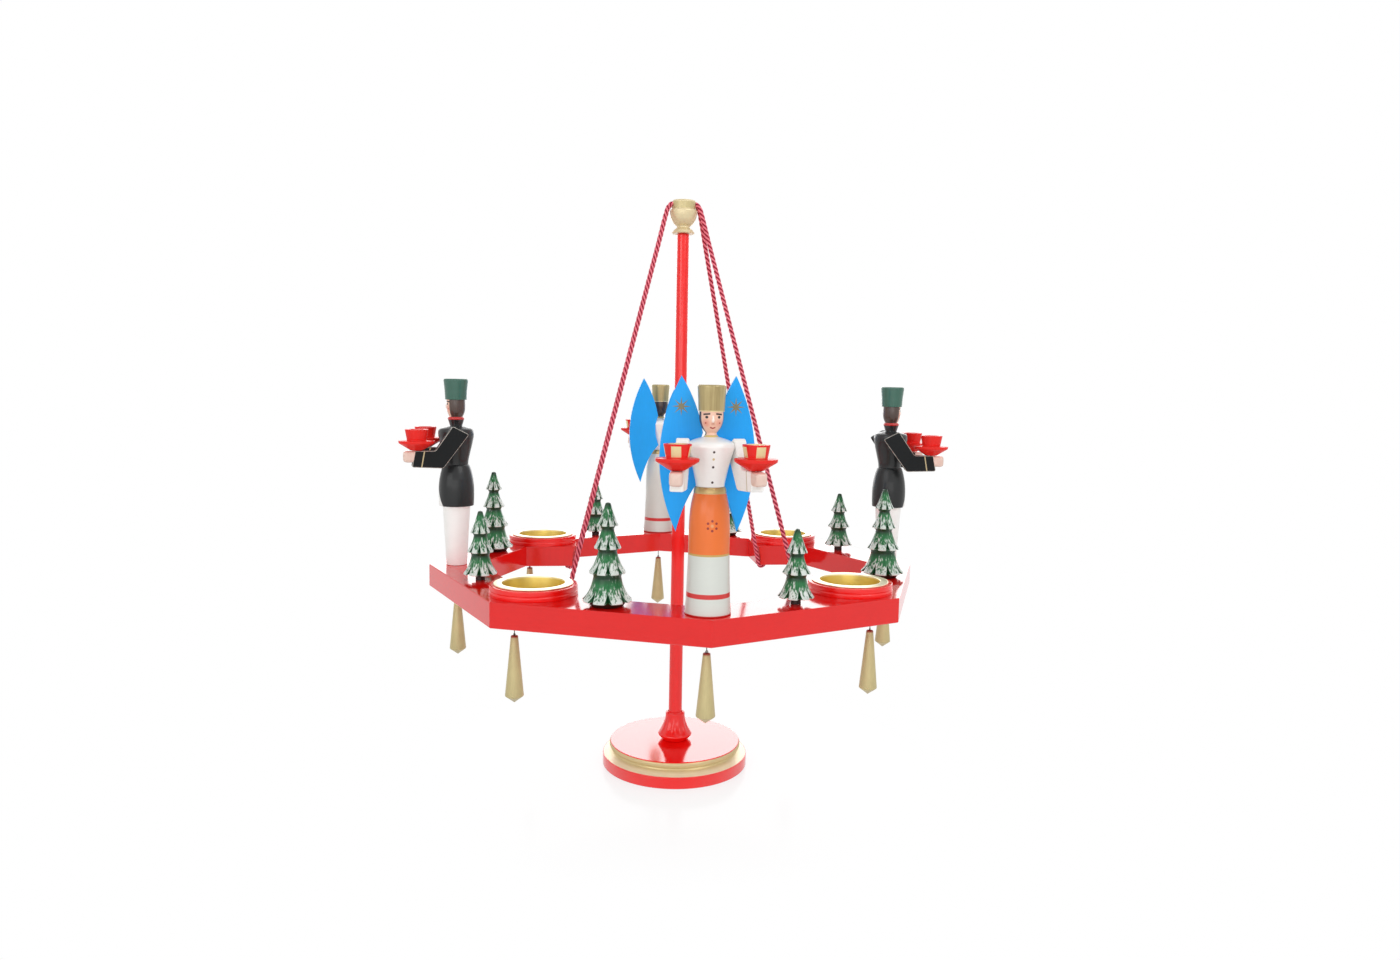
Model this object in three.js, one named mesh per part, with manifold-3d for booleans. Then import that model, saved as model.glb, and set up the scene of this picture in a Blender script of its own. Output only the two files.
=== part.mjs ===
// Advent candle holder: an eight-sided wooden ring, hung by two cords from a finial on a turned stand.
// Two angels and two miners hold small candle cups at four of its corners, and the corners between
// them take tea lights. A carved fir stands on every side and an icicle hangs under every corner.
// Millimetres, +Z up, with the origin under the middle of the base. The front angel faces -Y.

import * as THREE from "three";
import { mergeVertices } from "three/addons/utils/BufferGeometryUtils.js";
import Module from "manifold-3d";

const wasm = await Module();
wasm.setup();

// Stand
const BASE_RADIUS = 55.1;
const BASE_STEP_RADIUS = 49.9;
const BASE_RIM_HEIGHT = 8.7;
const BASE_HEIGHT = 17.7;
const POLE_FOOT_RADIUS = 5.1;
const POLE_TOP_RADIUS = 4.4;
const POLE_TOP = 399;
const POLE_SOCKET_FLOOR = 5.8;
const SPIGOT_RADIUS = 3;
const SPIGOT_LENGTH = 9;
const COLLAR_RADIUS = 12.8;
const COLLAR_TOP_RADIUS = 7.35;
const COLLAR_TOP = 39.6;
const FINIAL_TOP = 423;
const FINIAL_BOWL_RADIUS = 10.3;
const FINIAL_BAND_RADIUS = 8.3;

// Ring
const CORNERS = 8;
const CORNER_ANGLE = (2 * Math.PI) / CORNERS;
const RING_RADIUS = 183.2;
const RING_WIDTH = 32.8;
const RING_TOP = 154.7;
const RING_THICKNESS = 16.2;
const RING_BOTTOM = RING_TOP - RING_THICKNESS;
const RING_APOTHEM = RING_RADIUS * Math.cos(CORNER_ANGLE / 2);
const RING_INNER_APOTHEM = RING_APOTHEM - RING_WIDTH;

// Tea light corners: a square block behind the ring, a turned disc on it and a brass insert in it
const CUP_RADIAL = 147;
const BLOCK_HALF = 28.2;
const DISC_RADIUS = 28.1;
const DISC_HEIGHT = 6.3;
const CUP_BORE_RADIUS = 21.1;
const CUP_BORE_FLOOR = 143.2;
const INSERT_OPENING_RADIUS = 20;
const INSERT_WALL = 0.6;
const INSERT_FLANGE_RADIUS = 25.2;
const INSERT_FLANGE_THICKNESS = 0.9;

// Cords: each runs from under one block, through the finial's slot and down to the next block.
// It lies level in the slot, bends over the rim, falls straight and bends under the block. A fall
// runs from the point where it would meet the level stretch to its foot, [x, y] at the ring's top.
const CORD_RADIUS = 1.5;
const CORD_SIDES = 8;
const CORD_LEVEL = 421.3;
const CORD_RIM_REACH = 10.8;
const CORD_RIM_BEND = 7;
const CORD_FOOT_BEND = 6.8;
const CORD_LOWEST = 136.5;
const CORD_ENTRY = THREE.MathUtils.degToRad(45);
const CORD_END = 3.2;
const CORD_HOLE_RADIUS = 2.2;
const CORD_SLOT_RADIUS = 2.6;
const CORD_SLOT_SHIFT = 0.6;
const CORDS = [
  { name: "cord_front", aside: -1.8, feet: [[-80.4, -71.1], [74, -74]] },
  { name: "cord_back", aside: 1.8, feet: [[-74, 74], [74, 74]] },
];
const CORD_ARCH = 0.95; // the stiff twist stands this far off the slot's floor between the rims
const FINIAL_SLOT_HALF = 3.6;
const FINIAL_SLOT_FLOOR = CORD_LEVEL - CORD_RADIUS - CORD_ARCH;

// Figures
const FIGURE_RADIAL = 163.5;
const ARM_THICKNESS = 7.6;
const ARM_SPLAY = THREE.MathUtils.degToRad(13);
const ARM_PIVOT_FORWARD = -3;
const CUP_FORWARD = 25.4;
const CUP_SEAT_HEIGHT = 11.3;
const WING_THICKNESS = 2.4;
const WING_DEPTH = 12.4;
const WING_SWEEP = THREE.MathUtils.degToRad(7);

// Firs and icicles
const FIR_NOTCHES = 8;
const FIR_NOTCH_RISE = 7;
const ICICLE_RADIAL = 163;
const ICICLE_RADIUS = 5.95;
const ICICLE_TOP = 130.2;
const ICICLE_LENGTH = 43.1;
const ICICLE_TIP = 4.5;
const ICICLE_PIVOT = RING_BOTTOM + 0.8;

// Gaps between pieces that touch
const SEAT = 0.1;
const FIT = 0.3;

// Facets round the turned pieces
const BASE_SIDES = 28;
const POLE_SIDES = 16;
const CUP_SIDES = 18;
const BODY_SIDES = 12;
const HAND_CUP_SIDES = 10;
const ICICLE_SIDES = 8;

const finish = (color, roughness, metalness = 0) =>
  new THREE.MeshStandardMaterial({ color, roughness, metalness });
const RED = finish(0xe02a22, 0.18);
const GOLD = finish(0xc8b36a, 0.42, 0.55);
const BRASS = finish(0xd0b040, 0.3, 0.9);
const CRIMSON = finish(0xb0243a, 0.7);
const WHITE = finish(0xf1ede6, 0.3);
const SKIN = finish(0xe9b9a2, 0.4);
const BLUE = finish(0x1f8fe6, 0.45);
const BLACK = finish(0x1b1b1d, 0.3);
const GREEN = finish(0x2f7d4a, 0.5);

const holder = new THREE.Group();

function addPart(name, geometry, material, parent = holder) {
  const mesh = new THREE.Mesh(geometry, material);
  mesh.name = name;
  parent.add(mesh);
}

// A revolve about Z of [radius, height] points, listed from the bottom of the axis to its top.
function turned(profile, sides) {
  const points = profile.map(([r, z]) => new THREE.Vector2(r, z));
  return new THREE.LatheGeometry(points, sides).rotateX(Math.PI / 2);
}

function solidOf(geometry) {
  const bare = geometry.clone();
  bare.deleteAttribute("normal");
  bare.deleteAttribute("uv");
  const merged = mergeVertices(bare, 1e-3);
  return new wasm.Manifold(
    new wasm.Mesh({
      numProp: 3,
      vertProperties: merged.attributes.position.array,
      triVerts: new Uint32Array(merged.index.array),
    }),
  );
}

function geometryOf(solid) {
  const mesh = solid.getMesh();
  return new THREE.BufferGeometry()
    .setAttribute("position", new THREE.BufferAttribute(mesh.vertProperties, 3))
    .setIndex(new THREE.BufferAttribute(mesh.triVerts, 1));
}

// The same revolve, fuller by a fitting gap, to cut the seat of a piece that lies against it.
const fuller = (profile, sides) =>
  solidOf(
    turned(
      profile.map(([r, z]) => [r > 0 ? r + FIT : 0, z]),
      sides,
    ),
  );

// A group whose -Y points outwards at a corner, counted anticlockwise from the front; halves are sides.
function outwardGroup(corner) {
  const group = new THREE.Group();
  group.rotation.z = corner * CORNER_ANGLE;
  holder.add(group);
  return group;
}

const aroundAxis = (geometry, corner) => geometry.rotateZ(corner * CORNER_ANGLE);

// Stand: a stepped base with a gold cove and bead, a flared collar and a tapered pole

const BASE_PROFILE = [
  [0, 0],
  [BASE_RADIUS - 0.5, 0],
  [BASE_RADIUS, 0.5],
  [BASE_RADIUS, BASE_RIM_HEIGHT - 0.4],
  [BASE_RADIUS - 0.4, BASE_RIM_HEIGHT],
  [50.6, 9.5],
  [47.9, 10.9],
  [47.2, 12.2],
  [48.7, 13.1],
  [BASE_STEP_RADIUS, 14.7],
  [BASE_STEP_RADIUS, 16.3],
  [BASE_STEP_RADIUS - 0.9, BASE_HEIGHT],
  [POLE_FOOT_RADIUS + FIT, BASE_HEIGHT],
  [POLE_FOOT_RADIUS + FIT, POLE_SOCKET_FLOOR],
  [0, POLE_SOCKET_FLOOR],
];
addPart("base", turned(BASE_PROFILE, BASE_SIDES), RED);

const COLLAR_BORE_RADIUS = POLE_FOOT_RADIUS + FIT;
const COLLAR_FOOT = BASE_HEIGHT + SEAT;
const COLLAR_PROFILE = [
  [COLLAR_BORE_RADIUS, COLLAR_FOOT],
  [9.5, COLLAR_FOOT],
  [COLLAR_RADIUS, 21.6],
  [COLLAR_RADIUS, 22.3],
  [9.9, 27.4],
  [8.2, 31.9],
  [COLLAR_TOP_RADIUS, 35.8],
  [COLLAR_TOP_RADIUS, COLLAR_TOP - 1.1],
  [COLLAR_BORE_RADIUS + 0.3, COLLAR_TOP],
  [COLLAR_BORE_RADIUS, COLLAR_TOP],
  [COLLAR_BORE_RADIUS, COLLAR_FOOT],
];
addPart("pole_collar", turned(COLLAR_PROFILE, POLE_SIDES), RED);

const POLE_PROFILE = [
  [0, POLE_SOCKET_FLOOR + SEAT],
  [POLE_FOOT_RADIUS, POLE_SOCKET_FLOOR + SEAT],
  [POLE_FOOT_RADIUS, COLLAR_TOP],
  [POLE_TOP_RADIUS, POLE_TOP],
  [SPIGOT_RADIUS, POLE_TOP],
  [SPIGOT_RADIUS, POLE_TOP + SPIGOT_LENGTH - 0.7],
  [SPIGOT_RADIUS - 0.7, POLE_TOP + SPIGOT_LENGTH],
  [0, POLE_TOP + SPIGOT_LENGTH],
];
addPart("pole", turned(POLE_PROFILE, POLE_SIDES), RED);

// Finial: a goblet that turns on the pole's spigot, with one slot across its top for both cords

const FINIAL_FOOT = POLE_TOP + FIT;
const FINIAL_SOCKET_TOP = POLE_TOP + SPIGOT_LENGTH + 0.6;
const FINIAL_PROFILE = [
  [0, FINIAL_SOCKET_TOP],
  [SPIGOT_RADIUS + FIT, FINIAL_SOCKET_TOP],
  [SPIGOT_RADIUS + FIT, FINIAL_FOOT],
  [8, FINIAL_FOOT],
  [8.3, 399.9],
  [7, 401.8],
  [4.9, 403.6],
  [4.9, 404.4],
  [6.8, 406.2],
  [8.6, 408.9],
  [9.7, 411.6],
  [10.2, 414],
  [FINIAL_BOWL_RADIUS, 415.5],
  [9.8, 416.3],
  [FINIAL_BAND_RADIUS, 416.6],
  [FINIAL_BAND_RADIUS, 422.2],
  [FINIAL_BAND_RADIUS - 0.7, FINIAL_TOP],
  [0, FINIAL_TOP],
];

const FINIAL_SLOT_DEPTH = FINIAL_TOP + 1 - FINIAL_SLOT_FLOOR;
const finialSlot = new THREE.BoxGeometry(3 * FINIAL_BOWL_RADIUS, 2 * FINIAL_SLOT_HALF, FINIAL_SLOT_DEPTH);
finialSlot.translate(0, 0, FINIAL_SLOT_FLOOR + FINIAL_SLOT_DEPTH / 2);
const finial = solidOf(turned(FINIAL_PROFILE, POLE_SIDES)).subtract(solidOf(finialSlot));
addPart("finial", geometryOf(finial), GOLD);

// The straight fall of a cord to one foot: its start, its direction, its way outwards on the level,
// its lean from the vertical and its place at a height
function cordFall(aside, [x, y]) {
  const start = new THREE.Vector3(Math.sign(x) * CORD_RIM_REACH, aside, CORD_LEVEL);
  const drop = new THREE.Vector3(x, y, RING_TOP).sub(start);
  return {
    start,
    along: drop.clone().normalize(),
    out: drop.clone().setZ(0).normalize(),
    lean: Math.atan2(Math.hypot(drop.x, drop.y), -drop.z),
    placeAt: (z) => start.clone().addScaledVector(drop, (z - CORD_LEVEL) / drop.z),
  };
}

const evenly = (from, to, count) =>
  Array.from({ length: count + 1 }, (_, i) => THREE.MathUtils.lerp(from, to, i / count));

// Points of half a cord, from the finial to its end in the block
function cordHalf(aside, foot) {
  const { start, along, out, lean, placeAt } = cordFall(aside, foot);
  const level = new THREE.Vector3(Math.sign(foot[0]), 0, 0);
  const turn = level.angleTo(along);
  const down = along.clone().addScaledVector(level, -Math.cos(turn)).normalize();
  const rim = start.clone().addScaledVector(level, -CORD_RIM_BEND * Math.tan(turn / 2));
  const overRim = (angle) =>
    rim
      .clone()
      .addScaledVector(level, CORD_RIM_BEND * Math.sin(angle))
      .addScaledVector(down, CORD_RIM_BEND * (1 - Math.cos(angle)));
  const dip = Math.PI / 2 - lean;
  const footHeight = (angle) => CORD_LOWEST + CORD_FOOT_BEND * (1 - Math.cos(angle));
  const lowest = placeAt(footHeight(dip)).addScaledVector(out, CORD_FOOT_BEND * Math.sin(dip));
  const underBlock = (angle) =>
    lowest
      .clone()
      .addScaledVector(out, CORD_FOOT_BEND * Math.sin(angle))
      .setZ(footHeight(angle));
  const fall = [0.1, 0.5, 0.9].map((t) => THREE.MathUtils.lerp(overRim(turn).z, footHeight(dip), t));
  const entry = underBlock(CORD_ENTRY);
  const end = entry
    .clone()
    .addScaledVector(out, CORD_END * Math.cos(CORD_ENTRY))
    .setZ(entry.z + CORD_END * Math.sin(CORD_ENTRY));
  return [
    rim.clone().setX(rim.x / 2),
    ...evenly(0, turn, 4).map(overRim),
    ...fall.map(placeAt),
    ...evenly(-dip, CORD_ENTRY, 7).map(underBlock),
    end,
  ];
}

// Steps follow the listed points, which lie close together only where the cord bends.
class CordRoute extends THREE.CatmullRomCurve3 {
  getPointAt(t, target) {
    return this.getPoint(t, target);
  }
  getTangentAt(t, target) {
    return this.getTangent(t, target);
  }
}

function cordGeometry({ aside, feet }) {
  const [left, right] = feet.map((foot) => cordHalf(aside, foot));
  const points = [...left.toReversed(), new THREE.Vector3(0, aside, CORD_LEVEL), ...right];
  const section = new THREE.Shape();
  section.absarc(0, 0, CORD_RADIUS, 0, 2 * Math.PI);
  return new THREE.ExtrudeGeometry(section, {
    steps: points.length - 1,
    curveSegments: CORD_SIDES / 2,
    extrudePath: new CordRoute(points, false, "centripetal"),
  });
}
for (const cord of CORDS) addPart(cord.name, cordGeometry(cord), CRIMSON);

// Ring: an octagon frame with the four blocks and discs of the tea lights fused to it

function turnedPoint([x, y], turn) {
  return new THREE.Vector2(x, y).rotateAround(new THREE.Vector2(), turn);
}

function ringOutline() {
  const outer = [];
  for (let corner = 0; corner < CORNERS; corner++) {
    outer.push(turnedPoint([RING_RADIUS, 0], corner * CORNER_ANGLE));
  }
  const half = CORNER_ANGLE / 2;
  const face = CUP_RADIAL * Math.SQRT1_2 - BLOCK_HALF;
  const meet = (RING_INNER_APOTHEM - face * Math.sin(half)) / Math.cos(half);
  const quadrant = [
    [RING_INNER_APOTHEM / Math.cos(half), 0],
    [meet, face],
    [face, face],
    [face, meet],
  ];
  const middle = [];
  for (let quarter = 0; quarter < 4; quarter++) {
    middle.push(...quadrant.map((point) => turnedPoint(point, (quarter * Math.PI) / 2)));
  }
  const outline = new THREE.Shape(outer);
  outline.holes.push(new THREE.Path(middle));
  return outline;
}

const DISC_TOP = RING_TOP + DISC_HEIGHT;
const DISC_PROFILE = [
  [0, RING_TOP - 1],
  [DISC_RADIUS, RING_TOP - 1],
  [DISC_RADIUS, RING_TOP + 2.4],
  [DISC_RADIUS - 0.9, RING_TOP + 2.9],
  [DISC_RADIUS - 0.2, RING_TOP + 3.4],
  [DISC_RADIUS - 0.2, DISC_TOP],
  [0, DISC_TOP],
];
const BORE_PROFILE = [
  [0, CUP_BORE_FLOOR],
  [CUP_BORE_RADIUS, CUP_BORE_FLOOR],
  [CUP_BORE_RADIUS, DISC_TOP + 1],
  [0, DISC_TOP + 1],
];
const ICICLE_SOCKET_RADIUS = 1.55;
const SOCKET_PROFILE = [
  [0, RING_BOTTOM - 1],
  [ICICLE_SOCKET_RADIUS, RING_BOTTOM - 1],
  [ICICLE_SOCKET_RADIUS, ICICLE_PIVOT + 1.6],
  [0, ICICLE_PIVOT + 1.6],
];
const teaLightCorners = [1, 3, 5, 7];
const outwards = (geometry, radial, corner) =>
  solidOf(aroundAxis(geometry.translate(0, -radial, 0), corner));

// A round-bottomed trough along Y and open upwards, with the middle of its round at the origin
function trough(half, rise, length) {
  const outline = new THREE.Shape();
  outline.moveTo(half, 0);
  outline.lineTo(half, rise);
  outline.lineTo(-half, rise);
  outline.lineTo(-half, 0);
  outline.absarc(0, 0, half, Math.PI, 2 * Math.PI, false);
  const geometry = new THREE.ExtrudeGeometry(outline, {
    depth: length,
    bevelEnabled: false,
    curveSegments: 3,
  });
  return geometry.rotateX(Math.PI / 2).translate(0, length / 2, 0);
}

// A cord lies in an open slot down the block's inner edge, and its end goes up into the block.
// Both are made with the way outwards along -Y.
const atCord = (geometry, out, place) =>
  solidOf(geometry.rotateZ(Math.atan2(out.x, -out.y)).translate(...place));

function cordSlot({ lean, out, placeAt }) {
  const slot = trough(CORD_SLOT_RADIUS, 4 * CORD_SLOT_RADIUS, 1.6 * RING_THICKNESS);
  const place = placeAt((RING_TOP + RING_BOTTOM) / 2).addScaledVector(out, CORD_SLOT_SHIFT);
  return atCord(slot.rotateX(-Math.PI / 2 - lean), out, place);
}

function cordHole(half, { out }) {
  const length = 12;
  const hole = new THREE.CylinderGeometry(CORD_HOLE_RADIUS, CORD_HOLE_RADIUS, length, 10);
  hole.translate(0, length / 2 - CORD_END - FIT, 0).rotateX(-CORD_ENTRY);
  return atCord(hole, out, half.at(-2));
}

let ring = solidOf(
  new THREE.ExtrudeGeometry(ringOutline(), {
    depth: RING_THICKNESS,
    bevelEnabled: false,
  }).translate(0, 0, RING_BOTTOM),
);
for (const corner of teaLightCorners) {
  ring = ring.add(outwards(turned(DISC_PROFILE, CUP_SIDES), CUP_RADIAL, corner));
}
for (const corner of teaLightCorners) {
  ring = ring.subtract(outwards(turned(BORE_PROFILE, CUP_SIDES), CUP_RADIAL, corner));
}
for (const { aside, feet } of CORDS) {
  for (const foot of feet) {
    const fall = cordFall(aside, foot);
    ring = ring.subtract(cordSlot(fall)).subtract(cordHole(cordHalf(aside, foot), fall));
  }
}
for (let corner = 0; corner < CORNERS; corner++) {
  ring = ring.subtract(outwards(turned(SOCKET_PROFILE, ICICLE_SIDES), ICICLE_RADIAL, corner));
}
addPart("ring_frame", geometryOf(ring), RED);

const INSERT_TOP = DISC_TOP + SEAT + INSERT_FLANGE_THICKNESS;
const INSERT_OUTER_RADIUS = INSERT_OPENING_RADIUS + INSERT_WALL;
const INSERT_FLOOR = CUP_BORE_FLOOR + FIT;
const INSERT_PROFILE = [
  [0, INSERT_FLOOR],
  [INSERT_OUTER_RADIUS - 0.3, INSERT_FLOOR],
  [INSERT_OUTER_RADIUS, DISC_TOP + SEAT],
  [INSERT_FLANGE_RADIUS, DISC_TOP + SEAT],
  [INSERT_FLANGE_RADIUS, INSERT_TOP],
  [INSERT_OPENING_RADIUS, INSERT_TOP],
  [INSERT_OPENING_RADIUS - 0.3, INSERT_FLOOR + INSERT_WALL],
  [0, INSERT_FLOOR + INSERT_WALL],
];
const CORNER_NAMES = [
  "front",
  "front_right",
  "right",
  "back_right",
  "back",
  "back_left",
  "left",
  "front_left",
];
for (const corner of teaLightCorners) {
  const insert = turned(INSERT_PROFILE, CUP_SIDES).translate(0, -CUP_RADIAL, 0);
  addPart("insert_" + CORNER_NAMES[corner], insert, BRASS, outwardGroup(corner));
}

// Icicles: a long cone with a short tip, on a wire whose round head swings in a socket of the ring

const ICICLE_FOOT = ICICLE_TOP - ICICLE_LENGTH;
const WIRE_RADIUS = 0.5;
const WIRE_HEAD_RADIUS = 1;
const ICICLE_PROFILE = [
  [0, ICICLE_FOOT],
  [ICICLE_RADIUS, ICICLE_FOOT + ICICLE_TIP],
  [2.25, ICICLE_TOP],
  [WIRE_RADIUS, ICICLE_TOP + 0.4],
  [WIRE_RADIUS, ICICLE_PIVOT - 0.8],
  [WIRE_HEAD_RADIUS, ICICLE_PIVOT],
  [0, ICICLE_PIVOT + 0.9],
];
CORNER_NAMES.forEach((name, corner) => {
  const icicle = turned(ICICLE_PROFILE, ICICLE_SIDES).translate(0, -ICICLE_RADIAL, 0);
  addPart("icicle_" + name, icicle, GOLD, outwardGroup(corner));
});

// Firs: tiers of flared skirts, each cut round its rim by a ring of V notches.
// A tier gives its rim, the middle of its flare and its neck as [radius, height], and the top one
// runs out into the tip. A small fir stands on a short trunk.

const LARGE_FIR = {
  foot: [[10, 0]],
  tip: [1.7, 62],
  height: 63,
  tiers: [
    { rim: [15.2, 3.4], flare: [11, 9.5], neck: [8.4, 18] },
    { rim: [11.2, 20.4], flare: [7.9, 26.5], neck: [5.6, 33.3] },
    { rim: [8.3, 35.4], flare: [5.5, 41.5], neck: [3.7, 47] },
    { rim: [6.3, 49.2] },
  ],
};
const SMALL_FIR = {
  foot: [[3.2, 0], [3.2, 2]],
  tip: [1.6, 46.2],
  height: 47,
  tiers: [
    { rim: [11.3, 4.2], flare: [8, 10], neck: [6, 16.8] },
    { rim: [8.8, 19.2], flare: [5.8, 25], neck: [4.3, 30.2] },
    { rim: [6.5, 32.2] },
  ],
};
const RIM_CUT = 0.2;
const FLARE_CUT = 0.1;

function firGeometry({ foot, tip, height, tiers }) {
  const row = ([r, z], cut) => ({ r, z, cut });
  const rows = [[0, 0], ...foot].map((point) => row(point, 0));
  for (const { rim, flare, neck } of tiers) {
    rows.push(row(rim, RIM_CUT));
    if (neck) rows.push(row(flare, FLARE_CUT), row(neck, 0));
  }
  rows.push(row(tip, 0), row([0, height], 0));
  const outline = rows.map(({ r, z }) => new THREE.Vector2(r, z));
  const geometry = new THREE.LatheGeometry(outline, 2 * FIR_NOTCHES);
  const place = geometry.attributes.position;
  for (let notch = 1; notch < 2 * FIR_NOTCHES; notch += 2) {
    rows.forEach(({ cut }, j) => {
      const v = notch * rows.length + j;
      const keep = 1 - cut;
      place.setXYZ(v, place.getX(v) * keep, place.getY(v) + cut * FIR_NOTCH_RISE, place.getZ(v) * keep);
    });
  }
  return geometry.rotateX(Math.PI / 2);
}

const FIR_RADIAL = RING_APOTHEM - RING_WIDTH / 2;
for (let side = 0; side < CORNERS; side++) {
  const small = side % 2 === 0;
  const fir = firGeometry(small ? SMALL_FIR : LARGE_FIR);
  fir.translate(0, -FIR_RADIAL, RING_TOP + SEAT);
  const name = (small ? "fir_small_" : "fir_large_") + (Math.floor(side / 2) + 1);
  addPart(name, fir, GREEN, outwardGroup(side + 0.5));
}

// Figures: turned bodies and heads, sawn arms and wings. Heights are above the ring's top.

const ANGEL = {
  skirt: [
    [0, SEAT],
    [13.9, SEAT],
    [13.2, 8],
    [12.75, 20],
    [12.2, 36],
    [12.2, 48],
    [11.9, 57],
    [11.2, 64],
    [10, 70],
    [9.2, 73],
    [8.8, 75.3],
    [0, 75.3],
  ],
  torso: [
    [0, 75.4],
    [8.4, 75.4],
    [8.9, 79],
    [11.5, 90],
    [13.5, 96.2],
    [14.1, 98.6],
    [13.4, 100.8],
    [10.8, 102.4],
    [4.4, 104.4],
    [3.7, 105.3],
    [0, 105.3],
  ],
  head: [
    [0, 105.4],
    [3.6, 105.4],
    [3.3, 106.6],
    [4.9, 108.7],
    [6.3, 111.3],
    [7.1, 114.8],
    [7.1, 118.8],
    [7.6, 119],
    [7.9, 126],
    [8.5, 133.6],
    [7.9, 134.5],
    [0, 134.5],
  ],
  waist: 75.4,
  armLateral: 15.8,
  nose: [6.9, 113.4],
};
const MINER = {
  coat: [
    [0, SEAT],
    [7.4, SEAT],
    [8.4, 20],
    [9.8, 43.6],
    [12.3, 43.6],
    [12.6, 49.6],
    [12.5, 57.6],
    [11.9, 63.6],
    [10.6, 69.6],
    [9.3, 73.1],
    [8.7, 73.6],
    [0, 73.6],
  ],
  torso: [
    [0, 73.7],
    [8.5, 73.7],
    [8.8, 77.1],
    [11.4, 88.6],
    [12.5, 94.1],
    [12.6, 97.2],
    [11.8, 99.4],
    [7, 101.2],
    [4.6, 101.6],
    [0, 101.6],
  ],
  head: [
    [0, 101.7],
    [4.3, 101.7],
    [5.5, 105.8],
    [6.1, 107.2],
    [4.8, 108.6],
    [6, 111.4],
    [6.6, 114.6],
    [6.7, 120.4],
    [7.7, 120.6],
    [8.1, 127.6],
    [8.95, 134.8],
    [8.4, 135.6],
    [0, 135.6],
  ],
  waist: 73.7,
  armLateral: 15,
  nose: [6.4, 114.8],
};

// Sleeve outline in [forward, height above the waist]: shoulder, elbow, cuff and inner elbow
const SLEEVE = [
  [1, 28.5],
  [-10.5, 22.5],
  [7.5, -1.5],
  [29, -0.5],
  [27, 11],
  [13, 11],
];
const HAND_CENTRE = [28.4, 6.9];
const HAND_RADII = [6.3, 4, 3.6];

// Carries [forward, height] outlines to a board of the arm's thickness that stands off to one side.
function armGeometry(figure, side, torso) {
  const sleeve = new THREE.ExtrudeGeometry(
    new THREE.Shape(SLEEVE.map(([f, h]) => new THREE.Vector2(f, h))),
    { depth: ARM_THICKNESS, bevelEnabled: false },
  ).translate(0, 0, -ARM_THICKNESS / 2);
  const hand = new THREE.SphereGeometry(1, 8, 5)
    .scale(...HAND_RADII)
    .translate(...HAND_CENTRE, 0);
  const standing = new THREE.Matrix4().makeBasis(
    new THREE.Vector3(0, -1, 0),
    new THREE.Vector3(0, 0, 1),
    new THREE.Vector3(-1, 0, 0),
  );
  const [board, fist] = [sleeve, hand].map((geometry) =>
    solidOf(
      geometry
        .applyMatrix4(standing)
        .translate(0, ARM_PIVOT_FORWARD, figure.waist)
        .rotateZ(side * ARM_SPLAY)
        .translate(side * figure.armLateral, -ARM_PIVOT_FORWARD, 0),
    ),
  );
  return geometryOf(board.add(fist).subtract(torso));
}

const HAND_CUP_PROFILE = [
  [0, 0],
  [4.2, 0],
  [12.2, 5],
  [12.4, 6.8],
  [6.6, 7.2],
  [8, 14.8],
  [5.3, 14.8],
  [5.3, 8],
  [0, 8],
];

function handCupGeometry(figure, side) {
  const reach = CUP_FORWARD - ARM_PIVOT_FORWARD;
  const lateral = figure.armLateral + reach * Math.sin(ARM_SPLAY);
  const forward = ARM_PIVOT_FORWARD + reach * Math.cos(ARM_SPLAY);
  const cup = turned(HAND_CUP_PROFILE, HAND_CUP_SIDES);
  return cup.translate(side * lateral, -forward, figure.waist + CUP_SEAT_HEIGHT);
}

// Leaf-shaped wing in [lateral, height]: pointed at both ends, round outside, hollowed to the waist
function wingGeometry(side, torso) {
  const outline = new THREE.Shape();
  outline.moveTo(side * 16.6, 139.7);
  outline.quadraticCurveTo(side * 6.5, 124, side * 3.4, 106);
  outline.quadraticCurveTo(side * 8, 94, side * 2.6, 80);
  outline.quadraticCurveTo(side * 13, 70, side * 18.7, 46.7);
  outline.quadraticCurveTo(side * 40.4, 93, side * 16.6, 139.7);
  const board = new THREE.ExtrudeGeometry(outline, {
    depth: WING_THICKNESS,
    bevelEnabled: false,
    curveSegments: 7,
  });
  board.rotateX(Math.PI / 2).translate(0, WING_THICKNESS, 0);
  board.rotateZ(side * WING_SWEEP).translate(0, WING_DEPTH - WING_THICKNESS, 0);
  return geometryOf(solidOf(board).subtract(torso));
}

// A turned head with a small peg of a nose
function headGeometry({ head, nose: [forward, height] }) {
  const nose = new THREE.OctahedronGeometry(1.2, 0).scale(0.8, 1, 1.2);
  nose.translate(0, -forward, height);
  return geometryOf(solidOf(turned(head, BODY_SIDES)).add(solidOf(nose)));
}

const SIDES = { left: 1, right: -1 };

function addFigure(name, corner, figure, { lower, lowerName, sleeves, winged }) {
  const place = new THREE.Group();
  place.position.set(0, -FIGURE_RADIAL, RING_TOP);
  outwardGroup(corner).add(place);
  const torso = fuller(figure.torso, BODY_SIDES);
  addPart(`${name}_${lowerName}`, turned(lower, BODY_SIDES), sleeves, place);
  addPart(`${name}_torso`, turned(figure.torso, BODY_SIDES), sleeves, place);
  addPart(`${name}_head`, headGeometry(figure), SKIN, place);
  for (const [word, side] of Object.entries(SIDES)) {
    addPart(`${name}_arm_${word}`, armGeometry(figure, side, torso), sleeves, place);
    addPart(`${name}_cup_${word}`, handCupGeometry(figure, side), RED, place);
    if (winged) addPart(`${name}_wing_${word}`, wingGeometry(side, torso), BLUE, place);
  }
}

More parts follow.
